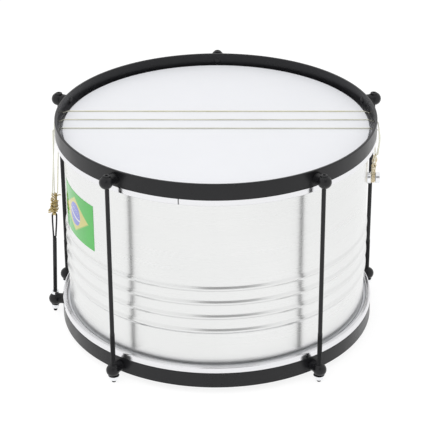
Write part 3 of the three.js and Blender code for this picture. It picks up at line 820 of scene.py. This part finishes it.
class DRUM_OT_shell(bpy.types.Operator):
    """Rolls the shell with its beads"""

    bl_idname = "drum.shell"
    bl_label = "Shell"

    def execute(self, context):
        """A bead of height h and width w swells by h (1 + cos(2 pi d / w)) / 2 at the distance d from
        its middle, and the inner face follows the outer one. Between the beads the rings lie far apart."""
        sizes = sizes_of("body")
        rings, plain_step = 720, 36
        height = np.linspace(SHELL_FOOT, SHELL_TOP, rings)
        beads = SHELL_FOOT + sizes.lowest_bead + sizes.bead_pitch * np.arange(sizes.bead_count)
        away = np.abs(height[:, None] - beads).min(axis=1)
        half = sizes.bead_width / 2
        swell = np.where(away < half, 0.5 + 0.5 * np.cos(np.pi * away / half), 0)
        kept = (away < half + 0.6 * MM) | (np.arange(rings) % plain_step == 0)
        kept[-1] = True
        outer = np.stack([sizes.shell_radius + sizes.bead_height * swell, height], axis=1)[kept]
        inner = outer[::-1] - [sizes.shell_wall, 0]
        edge = 0.3 * MM
        outer[[0, -1], 1] += [edge, -edge]
        rim = sizes.shell_radius - edge
        profile = np.concatenate([[[rim, SHELL_FOOT]], outer, [[rim, SHELL_TOP]], inner])
        add_piece("shell", "shell_sheet", make_mesh([about_axis(profile, 1, 0, 320)]), "rolled_aluminium")
        return {"FINISHED"}


class DRUM_OT_heads(bpy.types.Operator):
    """Stretches both heads over the shell"""

    bl_idname = "drum.heads"
    bl_label = "Heads"

    def execute(self, context):
        """A head is a flat disc whose edge turns down over the shell into its flesh hoop."""
        sizes = sizes_of("body")
        film, collar = sizes.film, sizes.collar
        outer = sizes.shell_radius + 0.6 * MM
        tuck = sizes.ring_inner + sizes.ring_groove - 0.3 * MM
        bent = rounded(
            [[0, 0], [outer, 0], [outer, -collar], [tuck, -collar], [tuck, -collar - film],
             [outer - film, -collar - film], [outer - film, -film], [0, -film]],
            np.array([0, 0.9, 0, 0, 0, 0.3, 0.6, 0]) * MM)
        edge = bent[bent[:, 0] > sizes.shell_radius - 3 * MM]
        face = np.zeros((12, 2))
        face[:, 0] = np.linspace(20 * MM, sizes.shell_radius - 4 * MM, 12)
        line = np.concatenate([[[0, 0]], face, edge, face[::-1] - [0, film], [[0, -film]]])
        for node, level, side in (("top_head", UPPER_FACE, 1), ("bottom_head", LOWER_FACE, -1)):
            mesh = make_mesh([about_axis(line, side, level, 256, closes=False)])
            add_piece(node, node + "_film", mesh, "milky_film")
        return {"FINISHED"}


class DRUM_OT_flesh_hoops(bpy.types.Operator):
    """Draws the aluminium flesh hoops that hold the heads' edges"""

    bl_idname = "drum.flesh_hoops"
    bl_label = "Flesh hoops"

    def execute(self, context):
        """A section with a chamfered inner edge and the film's groove in its inner face, turned round
        the drum. The upper one's butt seam stands beside the front, and the lower one's at the back."""
        sizes = sizes_of("body")
        inner, outer = sizes.ring_inner, sizes.ring_inner + sizes.ring_width
        top, foot = -sizes.ring_drop, -sizes.ring_drop - sizes.ring_height
        slack = 0.25 * MM
        above, below = slack - sizes.collar, -sizes.collar - sizes.film - slack
        back = inner + sizes.ring_groove
        bevel, slope = 0.8 * MM, 0.9 * MM
        line = rounded(
            [[inner + slope, foot], [outer - bevel, foot], [outer, foot + bevel], [outer, top], [inner, top],
             [inner, above], [back, above], [back, below], [inner, below], [inner, foot + slope]],
            np.array([0.6, 0.6, 0.6, 0.3, 0.3, 0.2, 0, 0, 0.2, 0.6]) * MM, steps=4)
        for node, level, side, seam in (
            ("top_flesh_hoop", UPPER_FACE, 1, -12), ("bottom_flesh_hoop", LOWER_FACE, -1, 170),
        ):
            mesh = make_mesh([about_axis(line, side, level, 320, turn=math.radians(seam - 180))])
            add_piece(node, node + "_ring", mesh, "drawn_aluminium")
        return {"FINISHED"}


class DRUM_OT_hoops(bpy.types.Operator):
    """Bends the black steel hoops and drills the upper one for the strings"""

    bl_idname = "drum.hoops"
    bl_label = "Steel hoops"

    def execute(self, context):
        """A flat band with rounded edges, turned round the drum."""
        sizes, snare = sizes_of("body"), sizes_of("snare")
        outer, inner, foot = HOOP_RADIUS, HOOP_RADIUS - sizes.hoop_wall, -sizes.hoop_height
        corners = [[outer, foot], [outer, 0], [inner, 0], [inner, foot]]
        line = rounded(corners, np.array([0.6, 0.7, 0.7, 0.6]) * MM)
        drill = disc(snare.hole / 2, -0.2, 0.2, 24)
        for node, rim, side in (("top_hoop", UPPER_RIM, 1), ("bottom_hoop", LOWER_RIM, -1)):
            mesh = make_mesh([about_axis(line, side, rim, 320)])
            if side == 1:
                mesh = cut(mesh, [moved(drill, AXIS + [0, place, string_hole_height()], lies=True)
                                  for place in string_places()])
            add_piece(node, node + "_band", mesh, "black_hoop_paint", crease=35)
        return {"FINISHED"}


def string_places():
    """How far behind the drum's middle each string lies, from the back one on."""
    snare = sizes_of("snare")
    return [snare.set_back + step * snare.spacing for step in (1, 0, -1)]


def string_hole_height():
    """Height of the strings' holes, a little below the upper head's face."""
    return UPPER_FACE - sizes_of("snare").hole_below_head


# Lugs, rods and nuts

def lug_mesh(reach, cutters):
    """A lug lying along X from its seat on the hoop, with its ball's holes cut and its rivet head inside
    the hoop. The ball's outline is r sin(a) across and r cos(a) along from its middle at the reach, the
    neck draws in by a sine over its length, and the rivet's dome rises by a sine as it narrows by a
    cosine."""
    hardware = sizes_of("hardware")
    ball, neck, rivet = hardware.ball / 2, hardware.neck / 2, hardware.rivet / 2
    angle = np.linspace(math.pi - math.asin(neck / ball), 0, 40)
    curve = np.stack([ball * np.sin(angle), reach + ball * np.cos(angle)], axis=1)
    curve[-1, 0] = 0
    along = np.linspace(0.5 * MM, curve[0, 1], 12)[:-1]
    fillet = 0.35 * MM * np.sin(np.pi * (along - along[0]) / (curve[0, 1] - along[0]))
    foot = np.array([[0, -1.2 * MM], [neck - 0.6 * MM, -1.2 * MM], [neck - 0.1 * MM, 0.1 * MM]])
    body = np.concatenate([foot, np.stack([neck - fillet, along], axis=1), curve])
    angle = np.linspace(0, math.pi / 2, 9)
    dome = np.stack([rivet * np.cos(angle), -1.5 * MM * np.sin(angle)], axis=1)
    dome[-1, 0] = 0
    head = lathe(np.concatenate([[[0, 1.0 * MM], [rivet, 1.0 * MM]], dome]), 32)
    inside = (-sizes_of("body").hoop_wall, 0, 0)
    return cut(make_mesh([moved(lathe(body, 48), lies=True), moved(head, inside, lies=True)]), cutters)


class DRUM_OT_lugs(bpy.types.Operator):
    """Casts the ball lugs and rivets them to the hoops"""

    bl_idname = "drum.lugs"
    bl_label = "Lugs"

    def execute(self, context):
        """Each ball is bored along its rod. An upper one has a pocket for the rod's head, a lower one a
        flat for the washer, and the snare rod's ball a flat on both sides, square to the leaning rod."""
        sizes, snare = sizes_of("hardware"), sizes_of("snare")
        far = 20 * MM
        play = 0.25 * MM
        ball = sizes.ball / 2
        flat = ball - sizes.ball_flat
        at_rod = (ROD_CIRCLE - HOOP_RADIUS, 0, 0)
        reach = at_rod[0] + sizes.ball_beyond_rod
        hole = moved(disc(sizes.thread / 2 + play, -far, far), at_rod)
        pocket = disc(sizes.rod_head / 2 + 0.3 * MM, ball - sizes.pocket, far)
        upper = lug_mesh(reach, [hole, moved(pocket, at_rod)])
        lower = lug_mesh(reach, [hole, moved(disc(far, -far, -flat), at_rod)])
        at_rod, lean = (snare.circle - HOOP_RADIUS, 0, 0), -snare_line()[3]
        bores = (disc(snare.rod / 2 + play, -far, far), disc(far, flat, far), disc(far, -far, -flat))
        side = lug_mesh(at_rod[0], [moved(bore, at_rod, lean=lean) for bore in bores])
        for kind, height, mesh in (
            ("top_lug", UPPER_RIM - sizes.ball_below_rim, upper),
            ("bottom_lug", LOWER_RIM + sizes.ball_above_rim, lower),
        ):
            for number, turn in zip(RODS, ROD_TURNS):
                self.add_lug(f"{kind}_{number}", turn, height, mesh)
        self.add_lug("snare_lug", math.pi, LOWER_RIM + snare.ball_above_rim, side)
        return {"FINISHED"}

    def add_lug(self, node, turn, height, mesh):
        """One lug turned to its place on a hoop."""
        place = AXIS + [HOOP_RADIUS * math.cos(turn), HOOP_RADIUS * math.sin(turn), height]
        own = mesh.copy()
        own.transform(Matrix.Translation(place) @ Matrix.Rotation(turn, 4, "Z"))
        add_piece(node, node + "_casting", own, "black_rod_finish")


def threaded(radius, start, end, pitch, chamfer, depth, sides=24):
    """Heights and rings of a thread: at height z and angle a its radius falls by the depth times a blunt
    triangle wave of z / pitch - a / (2 pi), so that its ridge climbs by one pitch a turn. It starts
    with a chamfer and fades out at its end."""
    height = np.arange(start, end, pitch / 6)
    ramp = np.clip((height - start) / (1.2 * pitch), 0, 1)[:, None]
    fade = np.clip((end - height) / (2.5 * pitch), 0, 1)[:, None]
    wave = np.abs(2 * ((height[:, None] / pitch - np.arange(sides) / sides) % 1) - 1)
    ridge = depth * fade * ramp * np.clip(1.25 * wave - 0.12, 0, 1)
    return height, radius - chamfer * (1 - ramp) - ridge


def rod_shape(height, rings, plain):
    """A rod turned from its end up its thread's rings, and on through plain pairs of radius and height."""
    sides = rings.shape[1]
    radius = np.array([np.broadcast_to(row[0], sides) for row in plain])
    levels = np.concatenate([height[:1], height, [row[1] for row in plain]])
    return turned(np.concatenate([np.zeros((1, sides)), rings, radius]), levels, sides)


def hexagon(sides):
    """How far a hexagon reaches at each side's angle, as a share of its reach at a flat."""
    angle = 2 * np.pi * np.arange(sides) / sides
    return 1 / np.cos((angle + np.pi / 6) % (np.pi / 3) - np.pi / 6)


class DRUM_OT_tension_rods(bpy.types.Operator):
    """Turns the tension rods with their threads and socket heads"""

    bl_idname = "drum.tension_rods"
    bl_label = "Tension rods"

    def execute(self, context):
        """A rod is turned from its chamfered end up its thread and shank to a domed head, whose dome
        rises as a sine and draws in as a power of 1.6, with a six-sided socket."""
        sizes = sizes_of("hardware")
        chamfer, depth = 0.5 * MM, 0.42 * MM
        height, rings = threaded(
            sizes.thread / 2, 0, sizes.thread_length, sizes.thread_pitch, chamfer, depth)
        head, shank, socket = sizes.rod_head / 2, sizes.shank / 2, sizes.socket / 2
        crown, edge = 0.9 * MM, 0.3 * MM
        rim = ROD_TOP - crown
        foot = rim - 2.2 * MM
        neck = [(shank, sizes.thread_length + 1 * MM), (shank, foot - 1 * MM), (shank, foot),
                (head - edge, foot), (head, foot + edge), (head, rim - edge)]
        drawn = head - (head - socket) * np.linspace(0, 1, 10) ** 1.6
        risen = rim + crown * np.sin(np.linspace(0.12, 1, 10) * math.pi / 2)
        six = socket * hexagon(rings.shape[1]) * math.cos(math.pi / 6)
        pit = [(six, rim + 0.55 * MM), (six, rim - 1.4 * MM), (0, rim - 1.6 * MM)]
        rod = rod_shape(height, rings, [*neck, *zip(drawn, risen), *pit])
        for number, place in zip(RODS, ROD_PLACES):
            node = f"tension_rod_{number}"
            add_piece(node, node + "_turned", make_mesh([moved(rod, place)]), "black_rod_finish")
        return {"FINISHED"}


def nut_shape(flats, height, hole, sides=48):
    """A hexagonal nut standing on Z: its corners fall away from both faces as a cone cuts them, by
    the tangent of 30 degrees times the distance outside a circle just within the flats."""
    six = flats / 2 * hexagon(sides)
    start = flats / 2 * 0.97
    drop = np.maximum(six - start, 0) * math.tan(math.radians(30))
    edge = 0.35 * MM
    half = [(hole, edge), (hole + edge, 0), (start, 0), (six, drop)]
    rings = half + [(radius, height - level) for radius, level in half[::-1]]
    radius, level = (np.array([np.broadcast_to(ring[part], sides) for ring in rings]) for part in (0, 1))
    return turned(radius, level, sides, closes=True)


def washer_shape(diameter, hole, thickness, sides=48):
    """A flat washer with stamped, rounded edges, standing on Z."""
    outer = diameter / 2
    line = rounded([[hole, 0], [outer, 0], [outer, thickness], [hole, thickness]], 0.3 * MM, steps=4)
    return lathe(line, sides, closes=True)


def add_stamped(node, shape):
    """A plated nut or washer, already in its place."""
    add_piece(node, node + "_stamped", make_mesh([shape]), "chrome_plate", crease=25)


class DRUM_OT_nuts(bpy.types.Operator):
    """Stamps the washers and nuts under the lower lugs"""

    bl_idname = "drum.nuts"
    bl_label = "Washers and nuts"

    def execute(self, context):
        """A washer and a nut for each rod, at the heights of their solids' lower faces."""
        sizes = sizes_of("hardware")
        hole = sizes.thread / 2 + 0.15 * MM
        washer = washer_shape(sizes.washer, hole, sizes.washer_height)
        nut = nut_shape(sizes.nut, sizes.nut_height, hole)
        for number, place, turn in zip(RODS, ROD_PLACES, ROD_TURNS):
            for node, shape in ((f"tension_washer_{number}", washer), (f"tension_nut_{number}", nut)):
                add_stamped(node, moved(shape, place + [0, 0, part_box(node)[0].z], turn))
        return {"FINISHED"}


# Snare rod, post and strings

def held_line(side, circle, height):
    """A place that holds the strings at one side, the directions out from the drum and up towards the
    hoop's holes, and the lean: its tangent is the way out over the way up."""
    out = circle - (HOOP_RADIUS + sizes_of("snare").bend)
    lean = math.atan(out / (string_hole_height() - height))
    outward = np.array([side * math.cos(lean), 0, math.sin(lean)])
    up = np.array([-side * math.sin(lean), 0, math.cos(lean)])
    return AXIS + [side * circle, 0, height], outward, up, lean


def snare_line():
    """The line of the snare rod, from its lug's ball."""
    snare = sizes_of("snare")
    return held_line(-1, snare.circle, LOWER_RIM + snare.ball_above_rim)


def post_line():
    """The line of the right string ends, from the post's groove."""
    snare = sizes_of("snare")
    return held_line(1, snare.groove_circle, UPPER_RIM - snare.post_below_rim)


class DRUM_OT_snare_rod(bpy.types.Operator):
    """Bends the snare rod with its eye and screws its nuts on"""

    bl_idname = "drum.snare_rod"
    bl_label = "Snare rod"

    def execute(self, context):
        """The eye is a bow over two legs, which draw together to their foot as a sine's power of 1.4."""
        snare, hardware = sizes_of("snare"), sizes_of("hardware")
        origin, out, up, lean = snare_line()
        rod, wire = snare.rod / 2, snare.eye_wire / 2
        arc = (snare.eye_width - snare.eye_wire) / 2
        top = snare.eye_top - wire - arc
        split = snare.eye_top - snare.eye_length
        shoulder = split + 3 * MM
        screw_top = snare.thread_top
        chamfer, depth = 0.45 * MM, 0.36 * MM
        height, rings = threaded(
            rod, -snare.rod_tail, screw_top, snare.thread_pitch, chamfer, depth)
        shaft = rod_shape(height, rings, [
            (rod, screw_top + 1 * MM), (rod, split - 2 * MM), (rod * 0.97, split),
            (rod * 0.8, shoulder - 1 * MM), (wire, shoulder), (0, shoulder + 0.4 * MM)])
        half_turn = np.linspace(0, math.pi, 17)
        rise = np.linspace(0, 1, 12)
        narrow, foot = 1.15 * MM, split + 0.5 * MM
        spread = narrow + (arc - narrow) * np.sin(rise * math.pi / 2) ** 1.4
        leg = np.stack([spread, foot + (top - foot) * rise], axis=1)
        bow = np.stack([arc * np.cos(half_turn), top + arc * np.sin(half_turn)], axis=1)
        plan = np.concatenate([leg[:-1], bow, (leg[::-1] * [-1, 1])[1:-1]])
        eye = tube(origin + plan[:, :1] * out + plan[:, 1:] * up, wire, 14, aside=(0, 1, 0))
        mesh = make_mesh([moved(shaft, origin, lean=lean), eye])
        add_piece("snare_rod", "snare_rod_bent", mesh, "black_rod_finish")
        seat = hardware.ball / 2 - hardware.ball_flat + 0.3 * MM
        washer_height, play = 1.0 * MM, 0.3 * MM
        hole = rod + 0.15 * MM
        nut = nut_shape(snare.nut, snare.nut_height, hole)
        washer = washer_shape(8.6 * MM, hole, washer_height)
        washer_foot = -seat - washer_height
        for node, shape, level in (
            ("snare_lock_nut", nut, seat), ("snare_washer", washer, washer_foot),
            ("snare_nut", nut, washer_foot - play - snare.nut_height),
        ):
            add_stamped(node, moved(shape, origin + up * level, lean=lean))
        return {"FINISHED"}


class DRUM_OT_snare_post(bpy.types.Operator):
    """Turns the chromed snare post and fastens it through the shell"""

    bl_idname = "drum.snare_post"
    bl_label = "Snare post"

    def execute(self, context):
        """A spool turned round its own length, with rounded flanges, a groove and a domed head."""
        snare, body = sizes_of("snare"), sizes_of("body")
        flange, groove, seat = snare.post / 2, snare.groove / 2, body.shell_radius
        left, right = (snare.groove_circle + side * snare.groove_width / 2 for side in (-1, 1))
        head = right + snare.post_head
        stud, stud_end, dome_height = 2.5 * MM, seat - 9.2 * MM, 1.6 * MM
        line = rounded(
            [[0, stud_end], [stud, stud_end], [stud, seat], [flange, seat], [flange, left], [groove, left],
             [groove, right], [flange, right], [flange, head]],
            np.array([0, 0.3, 0, 0.5, 0.6, 0.5, 0.5, 0.6, 0]) * MM)
        angle = np.linspace(0, math.pi / 2, 12)
        dome = np.stack([flange * np.cos(angle), head + dome_height * np.sin(angle)], axis=1)
        dome[-1, 0] = 0
        spool = lathe(np.concatenate([line[line[:, 1] < head], dome]), 64)
        at_post = AXIS + [0, 0, UPPER_RIM - snare.post_below_rim]
        mesh = make_mesh([moved(spool, at_post, lies=True)])
        add_piece("snare_post", "snare_post_turned", mesh, "chrome_plate")
        hole, wall = stud + 0.1 * MM, seat - body.shell_wall
        for node, shape, inside in (
            ("post_washer", washer_shape(11.5 * MM, hole, 1.2 * MM), 1.3 * MM),
            ("post_nut", nut_shape(8 * MM, 4 * MM, hole), 5.4 * MM),
        ):
            add_stamped(node, moved(shape, at_post + [wall - inside, 0, 0], lies=True))
        return {"FINISHED"}


# Left string ends: phases of the main strands; phase, turns and height share of the counter strands;
# place along the eye of the loops; rise, fall and place aside of the cut ends. Lengths in millimetres.
LEFT_STRANDS = (0.0, 1.26, 2.51, 3.77, 5.03)
LEFT_COUNTERS = ((1.0, -1.6, 0.68), (3.4, -1.2, 0.55), (5.2, -2.1, 0.92))
LEFT_LOOPS = (-1.15, 0.0, 1.15)
LEFT_FLARES = ((3.2, 1.0, 0.0), (5.4, 3.4, 1.6), (1.8, 0.4, -1.6))

# Right string ends: phase, turns and end spread of the main strands; phase, turns and height share of
# the counter strands; turns and width of the winding
RIGHT_STRANDS = (
    (0.0, 0.7, 2.0), (1.1, 0.9, 2.3), (2.2, 0.8, 1.7), (3.3, 0.6, 1.9), (4.3, 0.8, 2.4), (5.4, 0.7, 1.4),
)
RIGHT_COUNTERS = ((0.6, 1.9, 0.8), (3.7, 1.5, 0.6))
WINDING_TURNS, WINDING_WIDTH = 2.5, 3.0

# How far out each string's left and right ends lie, and its bulge at the right, in millimetres
STRING_SPREAD = ((-3.4, -0.2, 0.8), (1.9, 2.6, 2.6), (-0.2, 1.2, 1.6))


def strand(line, start, end, spread, turns, phase, count=60):
    """A strand twisted round a line: at the share s of its length it stands off by a distance that goes
    from the first to the last of the spread, in millimetres, at the angle phase + 2 pi turns s."""
    origin, out, up = line
    s = np.linspace(0, 1, count)[:, None]
    angle = phase + 2 * math.pi * turns * s
    off = (spread[0] + (spread[1] - spread[0]) * s) * MM
    side = np.array([0, 1.0, 0])
    return origin + up * (start + (end - start) * s) + off * (np.cos(angle) * side + np.sin(angle) * out)


class DRUM_OT_string_ends(bpy.types.Operator):
    """Twists the strings' ends round the snare rod's eye and the post"""

    bl_idname = "drum.string_ends"
    bl_label = "String ends"

    def execute(self, context):
        """The bundle at the snare rod's eye, then the one at the post."""
        snare = sizes_of("snare")
        self.add_left_ends(snare, snare.string / 2)
        self.add_right_ends(snare, snare.string / 2)
        return {"FINISHED"}

    def add_left_ends(self, snare, thick):
        """Strands wound round each other above the eye, a wrap round them, loops through the eye,
        and cut ends that stand out."""
        origin, out, up = snare_line()[:3]
        wire = snare.eye_wire / 2
        origin = origin + up * (snare.eye_top - wire)
        line, end = (origin, out, up), wire + snare.knot_length
        shapes = [tube(strand(line, wire + 1.2 * MM, end, (1.9, 2.6), 1.4, phase, 70), thick)
                  for phase in LEFT_STRANDS]
        for phase, turns, height in LEFT_COUNTERS:
            path = strand(line, wire + 0.6 * MM, end * height, (3.2, 3.4), turns, phase)
            away = path[-1] + (up * 0.6 - out * 3.6) * MM
            middle = (path[-1] + away) / 2 + up * 0.5 * MM
            path = np.concatenate([path, curve_through([path[-1], middle, away], 10)[1:]])
            shapes.append(tube(path, thick * 0.9))
        wrap = strand(line, wire + 2 * MM, wire + 14 * MM, (4.2, 3.4), 3.3, 0.4, 120)
        shapes.append(tube(wrap, thick * 0.85, 8, aside=up))
        angle = np.linspace(0, 2 * math.pi, 24, endpoint=False)[:, None]
        ring = (wire + thick + 0.1 * MM) * (np.cos(angle) * np.array([0, 1.0, 0]) + np.sin(angle) * up)
        for aside in LEFT_LOOPS:
            loop = origin + out * aside * MM + ring * (1.0 + 0.12 * abs(aside))
            shapes.append(tube(loop, thick, aside=out, closes=True))
        for rise, fall, aside in LEFT_FLARES:
            foot = origin + (up * rise + np.array([0, aside, 0])) * MM
            steps = ((0, 0), (2.6, 0.4), (4.8, -fall / 2), (6.2, -fall))
            flare = curve_through([foot + (out * far + up * high) * MM for far, high in steps], 18)
            shapes.append(tube(flare, thick, aside=(0.2, 1, 0)))
        add_piece("left_string_knot", "left_string_twist", make_mesh(shapes), "old_brass_ends")

    def add_right_ends(self, snare, thick):
        """Strands wound round each other above the post, and turns side by side in its groove."""
        origin, out, up = line = post_line()[:3]
        bar = snare.groove / 2
        end = bar + snare.knot_length
        shapes = [tube(strand(line, bar + 0.6 * MM, end, (1.4, spread), turns, phase, 70), thick)
                  for phase, turns, spread in RIGHT_STRANDS]
        shapes += [tube(strand(line, bar + 0.4 * MM, end * height, (1.9, 2.4), turns, phase), thick * 0.9)
                   for phase, turns, height in RIGHT_COUNTERS]
        angle = np.linspace(0, 2 * math.pi * WINDING_TURNS, 90)[:, None]
        along = np.linspace(-0.5, 0.5, 90)[:, None] * WINDING_WIDTH * MM
        spokes = np.cos(angle) * up + np.sin(angle) * np.array([0, -1.0, 0])
        shapes.append(tube(origin + out * along + (bar + thick + 0.1 * MM) * spokes, thick, aside=out))
        add_piece("right_string_knot", "right_string_twist", make_mesh(shapes), "pale_brass_ends")


class DRUM_OT_strings(bpy.types.Operator):
    """Stretches the snare strings over the upper head"""

    bl_idname = "drum.strings"
    bl_label = "Snare strings"

    def execute(self, context):
        """A string runs from the left twist up to its hole, through the hoop, over the film and down
        to the right twist, with an arc wherever it turns."""
        snare, body = sizes_of("snare"), sizes_of("body")
        thick = snare.string / 2
        hole = string_hole_height()
        crossing = (
            (HOOP_RADIUS + snare.bend, hole), (HOOP_RADIUS - body.hoop_wall, hole),
            (body.shell_radius, UPPER_FACE + thick + 0.05 * MM))
        left, right = snare_line(), post_line()
        left_top = left[0] + left[2] * (snare.eye_top + snare.knot_length)
        right_top = right[0] + right[2] * (snare.groove / 2 + snare.knot_length)
        for number, (place, spread) in enumerate(zip(string_places(), STRING_SPREAD), 1):
            offset = [0, (2 - number) * (snare.string + 0.3 * MM) * 0.62, 0]
            left_out, right_out, bulge = spread
            right_end = right_top + right[1] * right_out * MM + offset
            over_left, over_right = (
                [AXIS + [side * math.sqrt(radius**2 - place**2), place, height]
                 for radius, height in crossing]
                for side in (-1, 1))
            corners = [left_top + left[1] * left_out * MM + offset, *over_left, *over_right[::-1]]
            corners += [(corners[-1] + right_end) / 2 + right[1] * bulge * MM, right_end]
            path = self.eased(np.array(corners), snare.bend)
            node = f"snare_string_{number}"
            winding = "brass_winding" if number == 1 else "dull_winding"
            mesh = make_mesh([tube(path, thick, 12, aside=(0, 1, 0))])
            piece = add_piece(node, node + "_wound", mesh, winding, rides=False)
            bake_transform(piece)
        return {"FINISHED"}

    def eased(self, corners, bend):
        """The path through the corners with arcs at them, and a point every few millimetres."""
        over_edge, easy, step = 4 * MM, 60 * MM, 4 * MM
        path = rounded(corners, np.array([0, bend, *[over_edge] * 4, bend, easy, 0]), steps=6)
        path = path[np.concatenate([[True], np.linalg.norm(np.diff(path, axis=0), axis=1) > 0.001 * MM])]
        travel = lengths_along(path)
        place = np.unique(np.concatenate([travel, np.arange(step, travel[-1], step)]).round(6))
        place = place[np.concatenate([[True], np.diff(place) > 0.05 * MM])]
        return np.stack([np.interp(place, travel, path[:, part]) for part in range(3)], axis=1)


class DRUM_OT_sticker(bpy.types.Operator):
    """Sticks the flag to the shell"""

    bl_idname = "drum.sticker"
    bl_label = "Flag sticker"

    def execute(self, context):
        """A thin sheet bent to the shell: a closed section of radius and height swept through the
        sticker's angle, counted round from the front."""
        sizes = sizes_of("sticker")
        inner = sizes_of("body").shell_radius + 0.03 * MM
        half = sizes.width / inner / 2
        rows, columns = 25, 49
        turn = sizes.angle + np.linspace(-half, half, columns)
        up = np.linspace(0, 1, rows)
        up = np.concatenate([up, up[::-1]])[:, None]
        radius = np.repeat([inner + sizes.thickness, inner], rows)[:, None]
        height = sizes.foot + sizes.height * up + 0 * turn
        sheet = np.stack([radius * np.sin(turn), -radius * np.cos(turn), height], axis=-1)
        mesh = make_mesh([surface(sheet + AXIS, True, False, np.append(up, up[0]))], seals=True)
        add_piece("flag_sticker", "flag_vinyl", mesh, "printed_vinyl")
        return {"FINISHED"}


GROUPS = {
    "drum_body": DrumBodySizes,
    "drum_hardware": DrumHardwareSizes,
    "drum_snare": DrumSnareSizes,
    "drum_sticker": DrumStickerSizes,
    "drum_look": DrumLook,
    "drum_stage": DrumStage,
}
OPERATORS = (
    DRUM_OT_stage, DRUM_OT_shell, DRUM_OT_heads, DRUM_OT_flesh_hoops, DRUM_OT_hoops, DRUM_OT_lugs,
    DRUM_OT_tension_rods, DRUM_OT_nuts, DRUM_OT_snare_rod, DRUM_OT_snare_post, DRUM_OT_string_ends,
    DRUM_OT_strings, DRUM_OT_sticker,
)


class DRUM_PT_panel(bpy.types.Panel):
    """Lists the drum's sizes and the buttons that build its pieces"""

    bl_label = "Samba snare drum"
    bl_idname = "DRUM_PT_panel"
    bl_space_type = "VIEW_3D"
    bl_region_type = "UI"
    bl_category = "Drum"

    def draw(self, context):
        """A button for each operator, then a box for each group of sizes."""
        for operator in OPERATORS:
            self.layout.operator(operator.bl_idname)
        for name, group in GROUPS.items():
            column = self.layout.box().column()
            for key in group.__annotations__:
                column.prop(getattr(context.scene, name), key)


CLASSES = (*GROUPS.values(), *OPERATORS, DRUM_PT_panel)


def register():
    """Adds the classes, and each group of sizes to the scene."""
    for kind in CLASSES:
        bpy.utils.register_class(kind)
    for name, group in GROUPS.items():
        setattr(bpy.types.Scene, name, PointerProperty(type=group))


def unregister():
    """Takes away what register added."""
    for name in GROUPS:
        delattr(bpy.types.Scene, name)
    for kind in reversed(CLASSES):
        bpy.utils.unregister_class(kind)


def main():
    """Builds every piece in order."""
    register()
    for operator in OPERATORS:
        group, name = operator.bl_idname.split(".")
        getattr(getattr(bpy.ops, group), name)()


if __name__ == "__main__":
    main()
